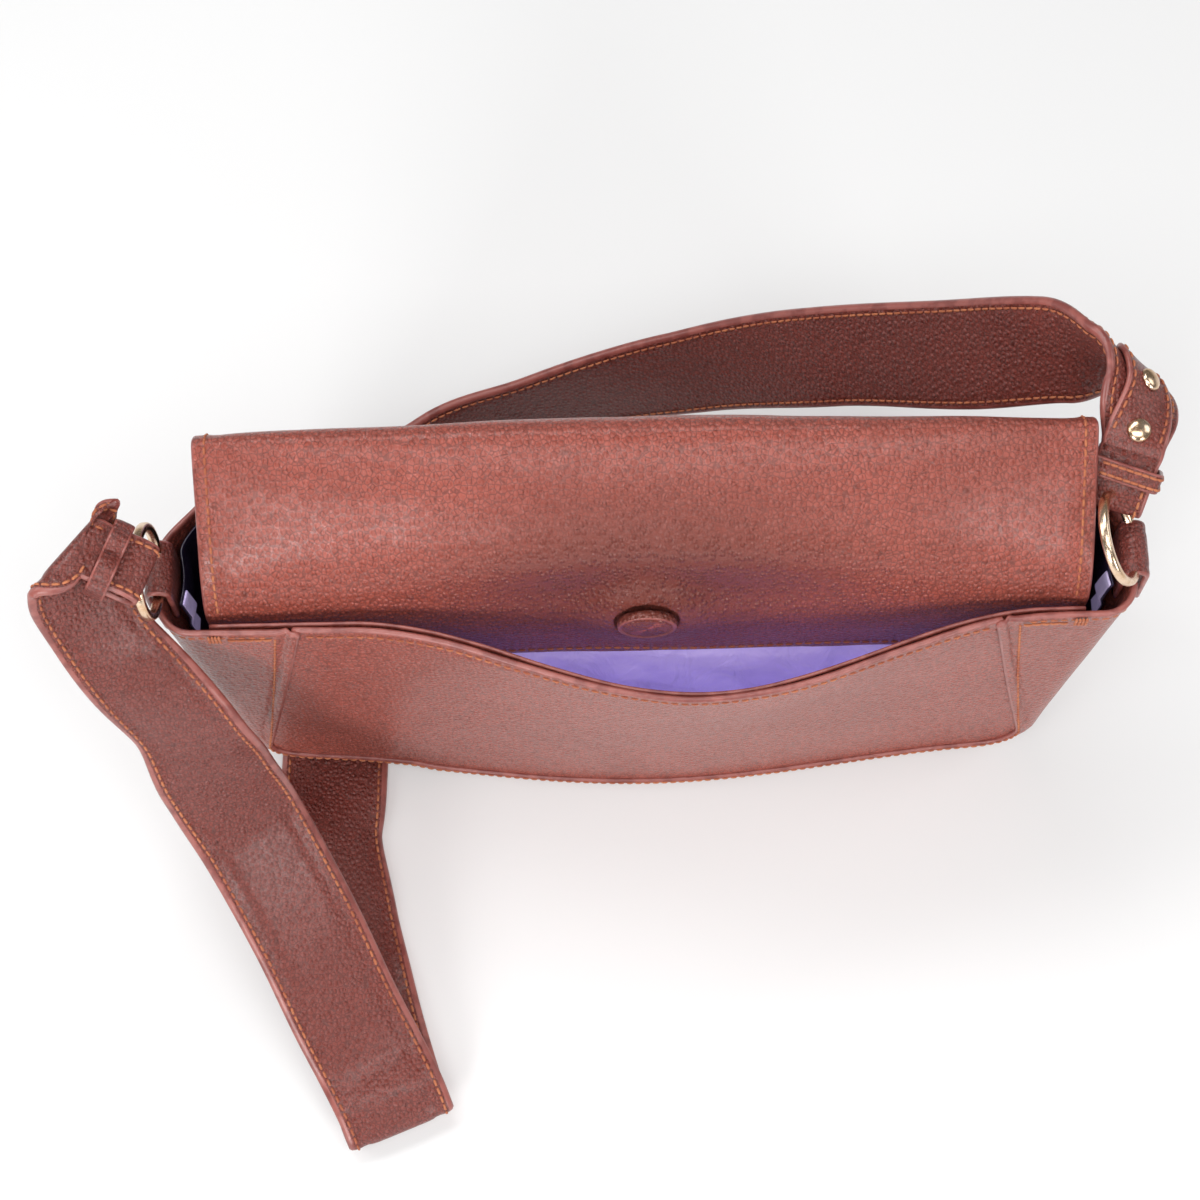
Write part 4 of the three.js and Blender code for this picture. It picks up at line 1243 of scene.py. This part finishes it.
# ---------------------------------------------------------------- strap ends
LOOP, KEEPER_LENGTH, KEEPER_WALL, KEEPER_ROOM = 3.6, 7.0, 1.5, 0.85
TONGUE_WIDTH, TONGUE_THICKNESS = 21.0, 2.2
EXIT_LENGTH, EXIT_WIDTH, EXIT_THICKNESS = 3.6, 21.5, 2.2


class End:
    """Where a strap end grips its ring: out leads away from the ring, across is the width, up the face."""

    def __init__(self, grip, out, across, length, keeper):
        self.grip, self.out, self.across = grip, out, across
        self.up = across.cross(out)
        self.length, self.keeper = length, keeper

    def at(self, along, rise, across=0.0):
        return self.grip + self.out * along + self.up * rise + self.across * across

    def station(self, along, rise, width=TONGUE_WIDTH, thickness=TONGUE_THICKNESS):
        return Station(self.at(along, rise), self.across, width, thickness)

    def loop(self):
        back = LOOP * 0.87
        far = self.length
        places = [(far, -LOOP), (far / 2, -LOOP), (0, -LOOP), (-back, -LOOP / 2), (-back, LOOP / 2),
                  (0, LOOP), (far / 2, LOOP), (far, LOOP)]
        return [self.station(along, rise) for along, rise in places]

    def exits(self):
        return [self.station(self.length - 0.5, LOOP),
                self.station(self.length + EXIT_LENGTH, LOOP, EXIT_WIDTH, EXIT_THICKNESS)]


def make_end(grip, out, across, length, keeper):
    out = Vector(out).normalized()
    across = Vector(across).normalized()
    across = (across - out * across.dot(out)).normalized()
    return End(grip, out, across, length, keeper)


LEFT_GRIP = LEFT_CENTRE + LEFT_LEAN * RING_RADIUS
LEFT_END = make_end(LEFT_GRIP, (-0.87, 0.33, 0.3), (0.3, 0.95, 0), 13.4, 5.9)
RIGHT_GRIP = RIGHT_CENTRE + Vector((0, RING_RADIUS, 0))
RIGHT_END = make_end(RIGHT_GRIP, (0.31, 0.78, 0.54), (0.93, -0.37, 0), 15.0, 5.5)


def build_end(name, end, body, node):
    frames = sections(end.loop(), 0, 7, 8)
    piece = ribbon(name, frames, STRAP, crown=0.1, seam=0.15)
    dress(piece, "strap_leather", body, node)
    rows = ribbon_rows(f"{name}_stitches", frames, margin=2.4, lift=0.05)
    dress(rows, "thread", body)


def keeper_frames(end, pinch):
    """The band's closed path round the two layers of the tongue."""
    half_wide = TONGUE_WIDTH / 2 + KEEPER_ROOM + KEEPER_WALL / 2
    half_high = LOOP + TONGUE_THICKNESS / 2 + KEEPER_ROOM + KEEPER_WALL / 2
    middle = end.keeper + KEEPER_LENGTH / 2
    corner = 2.4
    path = []
    for side in (1, -1):
        for k in range(25):
            a = side * mix(-(half_wide - corner), half_wide - corner, k / 24)
            bulge = pinch * math.sin(math.pi * 2 * abs(k / 24 - 0.5)) if pinch else 0.0
            path.append((a, side * (half_high + bulge)))
        for k in range(1, 8):
            turn = math.pi / 2 * k / 8
            path.append((side * (half_wide - corner + corner * math.sin(turn)),
                         side * (half_high - corner + corner * math.cos(turn))))
        path += [(side * half_wide, side * h) for h in (half_high * 0.35, 0, -half_high * 0.35)]
        for k in range(1, 8):
            turn = math.pi / 2 * k / 8
            path.append((side * (half_wide - corner + corner * math.cos(turn)),
                         -side * (half_high - corner + corner * math.sin(turn))))
    frames = []
    for k, (a, h) in enumerate(path):
        before, after = path[k - 1], path[(k + 1) % len(path)]
        tangent = end.across * (after[0] - before[0]) + end.up * (after[1] - before[1])
        centre = end.at(middle, h, a)
        frames.append((centre, end.out, tangent.normalized().cross(end.out), KEEPER_LENGTH, KEEPER_WALL))
    return frames


def build_keeper(name, end, body, pinch, stitches):
    frames = keeper_frames(end, pinch)
    piece = ribbon(name, frames, STRAP, crown=0.15, seam=0.1 if stitches else 0.0, closed=True)
    dress(piece, "strap_leather", body, body)
    if stitches:
        outward = 1 if frames[12][2].dot(frames[12][0] - end.at(end.keeper, 0)) > 0 else -1
        rows = ribbon_rows(f"{name}_stitches", frames, margin=1.7, faces=(outward,), lift=0.1, pitch=2.6)
        dress(rows, "thread", body)


# ---------------------------------------------------------------- strap
STRAP_WIDTH, STRAP_THICKNESS = 42.0, 3.8


def run(x, y, z, across, width=STRAP_WIDTH, thickness=STRAP_THICKNESS, skew=0.0):
    return Station((x, y, z), across, width, thickness, skew)


STRAP_PATH = LEFT_END.exits() + [
    run(-186, -22, 203, (0.62, 0.79, 0), skew=1),
    run(-189, -25, 195, (0.66, 0.74, -0.1), 39, 3.6, skew=0.8),
    run(-183.5, -40, 171, (0.84, 0.52, -0.08), 33),
    run(-160, -62, 130, (0.93, 0.15, 0.33), 40),
    run(-153, -72, 103, (0.9, 0.35, 0.15)),
    run(-144, -84, 75, (0.83, 0.56, 0)),
    run(-127, -114, 45, (0.83, 0.56, 0)),
    run(-114, -141, 27, (0.87, 0.5, 0)),
    run(-105, -158, 18, (0.91, 0.42, 0)),
    run(-98, -172, 15, (0.93, 0.36, 0)),
    run(-94.5, -181, 9, (0.93, 0.36, 0)),
    run(-98, -173, 2.6, (0.93, 0.36, 0)),
    run(-108, -140, 2.3, (0.95, 0.3, 0)),
    run(-117, -100, 6, (0.92, 0.2, -0.3)),
    run(-122, -68, 9, (0.85, 0.1, -0.45)),
    run(-122, -42, 2.4, (1, 0, 0)),
    run(-120, 0, 2.1, (1, 0, 0)),
    run(-117, 36, 2.1, (1, 0, 0)),
    run(-106, 66, 9, (0.9, -0.3, -0.45)),
    run(-78, 90, 21, (0.4, -0.2, -0.9)),
    run(-36, 102, 33, (0.1, -0.15, -1)),
    run(22, 100, 65, (0, -0.3, -0.95)),
    run(70, 85, 108, (0, -0.45, -0.9)),
    run(112, 66, 148, (0, -0.55, -0.83)),
    run(143, 52, 180, (0.1, -0.5, -0.87)),
    run(158, 44, 190, (0.45, -0.2, -0.85)),
    run(166, 32, 195, (0.72, -0.25, -0.62), 36, 3.2),
] + list(reversed(RIGHT_END.exits()))
LAST = len(STRAP_PATH) - 1
UNDER_BASE = 18


def left_free(piece, slot, *nodes):
    """For the strap's left run: bakes its placement into its mesh and hides the CAD nodes it stands for."""
    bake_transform(piece)
    if nodes:
        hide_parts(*nodes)


def right_free(piece, slot, *nodes):
    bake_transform(piece)
    if nodes:
        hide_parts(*nodes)


TIP_FIRST, TIP_LAST = LAST - 2.9, LAST - 0.7
STUD_PLACES = (LAST - 1.95, LAST - 1.25)
TIP_STEP = (STRAP_THICKNESS + TONGUE_THICKNESS) / 2 + 0.5


def build_strap():
    left = sections(STRAP_PATH, 0, UNDER_BASE, 14)
    right = sections(STRAP_PATH, UNDER_BASE, LAST, 14)
    left_free(ribbon("strap_left_run", left, STRAP, wobble=0.25), "strap_leather", "strap")
    right_free(ribbon("strap_right_run", right, STRAP, wobble=0.25), "strap_leather")
    left_free(ribbon_rows("strap_left_stitches", left), "thread")
    right_free(ribbon_rows("strap_right_stitches", right), "thread")
    tip = []
    for centre, across, face, _, _ in sections(STRAP_PATH, TIP_FIRST, TIP_LAST, 20):
        tip.append((centre + face * TIP_STEP, across, face, TONGUE_WIDTH, TONGUE_THICKNESS))
    tip.reverse()
    strip = ribbon("strap_tip", tip, STRAP, crown=0.2, seam=0.15, tip=9.0)
    right_free(strip, "strap_leather", "strap_right_tip")
    rows = ribbon_rows("strap_tip_stitches", tip, margin=2.4, faces=(1,), stop=5)
    right_free(rows, "thread")
    for k, place in enumerate(STUD_PLACES):
        centre, across, face, _, thickness = section_at(STRAP_PATH, place)
        top = TIP_STEP + TONGUE_THICKNESS / 2
        under = -thickness / 2
        profile = [(0, under - 0.9), (3.2, under - 0.9), (3.4, under - 0.3), (3.4, under)]
        profile += [(1.6, under), (1.6, top), (4.0, top), (4.1, top + 0.5)]
        for turn in steps(8, 0, math.pi / 2):
            profile.append((4.0 * math.cos(turn), top + 0.7 + 1.7 * math.sin(turn)))
        stud = lathe(f"stud_{k + 1}", profile, centre, face, [GOLD], segments=40)
        right_free(stud, "gold", f"right_stud_{k + 1}")


# ---------------------------------------------------------------- bar tacks
def build_bar_tacks():
    for name, side in (("left", -1), ("right", 1)):
        rows = []
        for k in range(4):
            x = side * (WALL_HALF - 4 + k * 1.2)
            for z in (RIM_HEIGHT - 1.6, RIM_HEIGHT - 4.6):
                y = near_face(x, z) - 1.0
                rows.append((Vector((x, y, z)), Vector((0, 0, 1)), Vector((0, -1, 0))))
        for k in range(5):
            x = side * (WALL_HALF - 8 - 3.0 * k)
            y = near_face(x, RIM_HEIGHT - 4) - 0.9
            rows.append((Vector((x, y, RIM_HEIGHT - 4)), Vector((1, 0, 0)), Vector((0, -1, 0))))
        tack = stitch_mesh(f"{name}_bar_tack_thread", rows, THREAD, length=3.2, radius=0.6)
        dress(tack, "thread", "root", f"{name}_bar_tack")


# ---------------------------------------------------------------- studio
def build_floor():
    bpy.ops.mesh.primitive_plane_add(size=8, location=(0, 0, -0.0004))
    floor = bpy.context.object
    floor.name = "studio_floor"
    floor.data.materials.append(floor_material())


def area_light(name, place, target, size, power):
    data = bpy.data.lights.new(name, "AREA")
    data.shape = "RECTANGLE"
    data.size, data.size_y = size
    data.energy = power
    lamp = bpy.data.objects.new(name, data)
    bpy.context.scene.collection.objects.link(lamp)
    lamp.location = place
    lamp.rotation_euler = (Vector(target) - Vector(place)).to_track_quat("-Z", "Y").to_euler()


def build_light():
    world = bpy.data.worlds.new("studio")
    world.use_nodes = True
    background = world.node_tree.nodes["Background"]
    background.inputs["Color"].default_value = (1, 1, 1, 1)
    background.inputs["Strength"].default_value = 0.2
    bpy.context.scene.world = world
    area_light("key", (0.0, -0.55, 1.35), (0, -0.03, 0.12), (1.3, 0.5), 9)
    area_light("top", (-0.25, 0.5, 1.3), (0, 0.02, 0.15), (1.0, 0.4), 8)
    area_light("left", (-1.1, 0.15, 0.9), (0, 0, 0.1), (0.6, 0.8), 5)
    area_light("right", (1.1, 0.1, 0.9), (0, 0, 0.1), (0.6, 0.8), 3)
    area_light("front_left", (-0.6, -1.25, 0.6), (-0.1, 0, 0.15), (0.45, 0.6), 10)
    area_light("front_right", (0.75, -1.25, 0.6), (0.1, 0, 0.15), (0.45, 0.6), 7)
    bpy.context.scene.view_settings.view_transform = "Standard"


CAMERA_TARGET = Vector((-16, -29.5, 163))
CAMERA_ELEVATION, CAMERA_ROLL = math.radians(70), math.radians(1.2)
CAMERA_DISTANCE, CAMERA_LENS = 900.0, 79.65


def build_camera():
    data = bpy.data.cameras.new("photo_camera")
    data.sensor_width = 36
    data.lens = CAMERA_LENS
    camera = bpy.data.objects.new("photo_camera", data)
    bpy.context.scene.collection.objects.link(camera)
    back = Vector((0, -math.cos(CAMERA_ELEVATION), math.sin(CAMERA_ELEVATION)))
    right = Vector((1, 0, 0))
    up = back.cross(right)
    across = right * math.cos(CAMERA_ROLL) - up * math.sin(CAMERA_ROLL)
    rise = right * math.sin(CAMERA_ROLL) + up * math.cos(CAMERA_ROLL)
    turn = Matrix((across, rise, back)).transposed()
    place = Matrix.Translation((CAMERA_TARGET + back * CAMERA_DISTANCE) * MM)
    camera.matrix_world = place @ turn.to_4x4()
    bpy.context.scene.camera = camera


build_gusset()
build_rear_panel()
build_facing()
build_linings()
build_front_panel()
build_cover()
build_closures()
build_ring("left_ring_gold", "left_ring", LEFT_CENTRE, LEFT_LEAN)
build_ring("right_ring_gold", "right_ring", RIGHT_CENTRE + RIGHT_RING_PLAY, RIGHT_LEAN)
build_tab(-1, LEFT_BAR, "left_tab_leather", "left_tab")
build_tab(1, RIGHT_BAR, "right_tab_leather", "right_tab")
build_end("left_tongue", LEFT_END, "left_end", "strap_left_end")
build_end("right_tongue", RIGHT_END, "right_end", "strap_right_end")
build_keeper("left_keeper_band", LEFT_END, "left_keeper", pinch=3.0, stitches=False)
build_keeper("right_keeper_band", RIGHT_END, "right_keeper", pinch=0.0, stitches=True)
build_strap()
build_bar_tacks()
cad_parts["base_board"].data.materials.clear()
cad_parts["base_board"].data.materials.append(BOARD)
build_floor()
build_light()
build_camera()
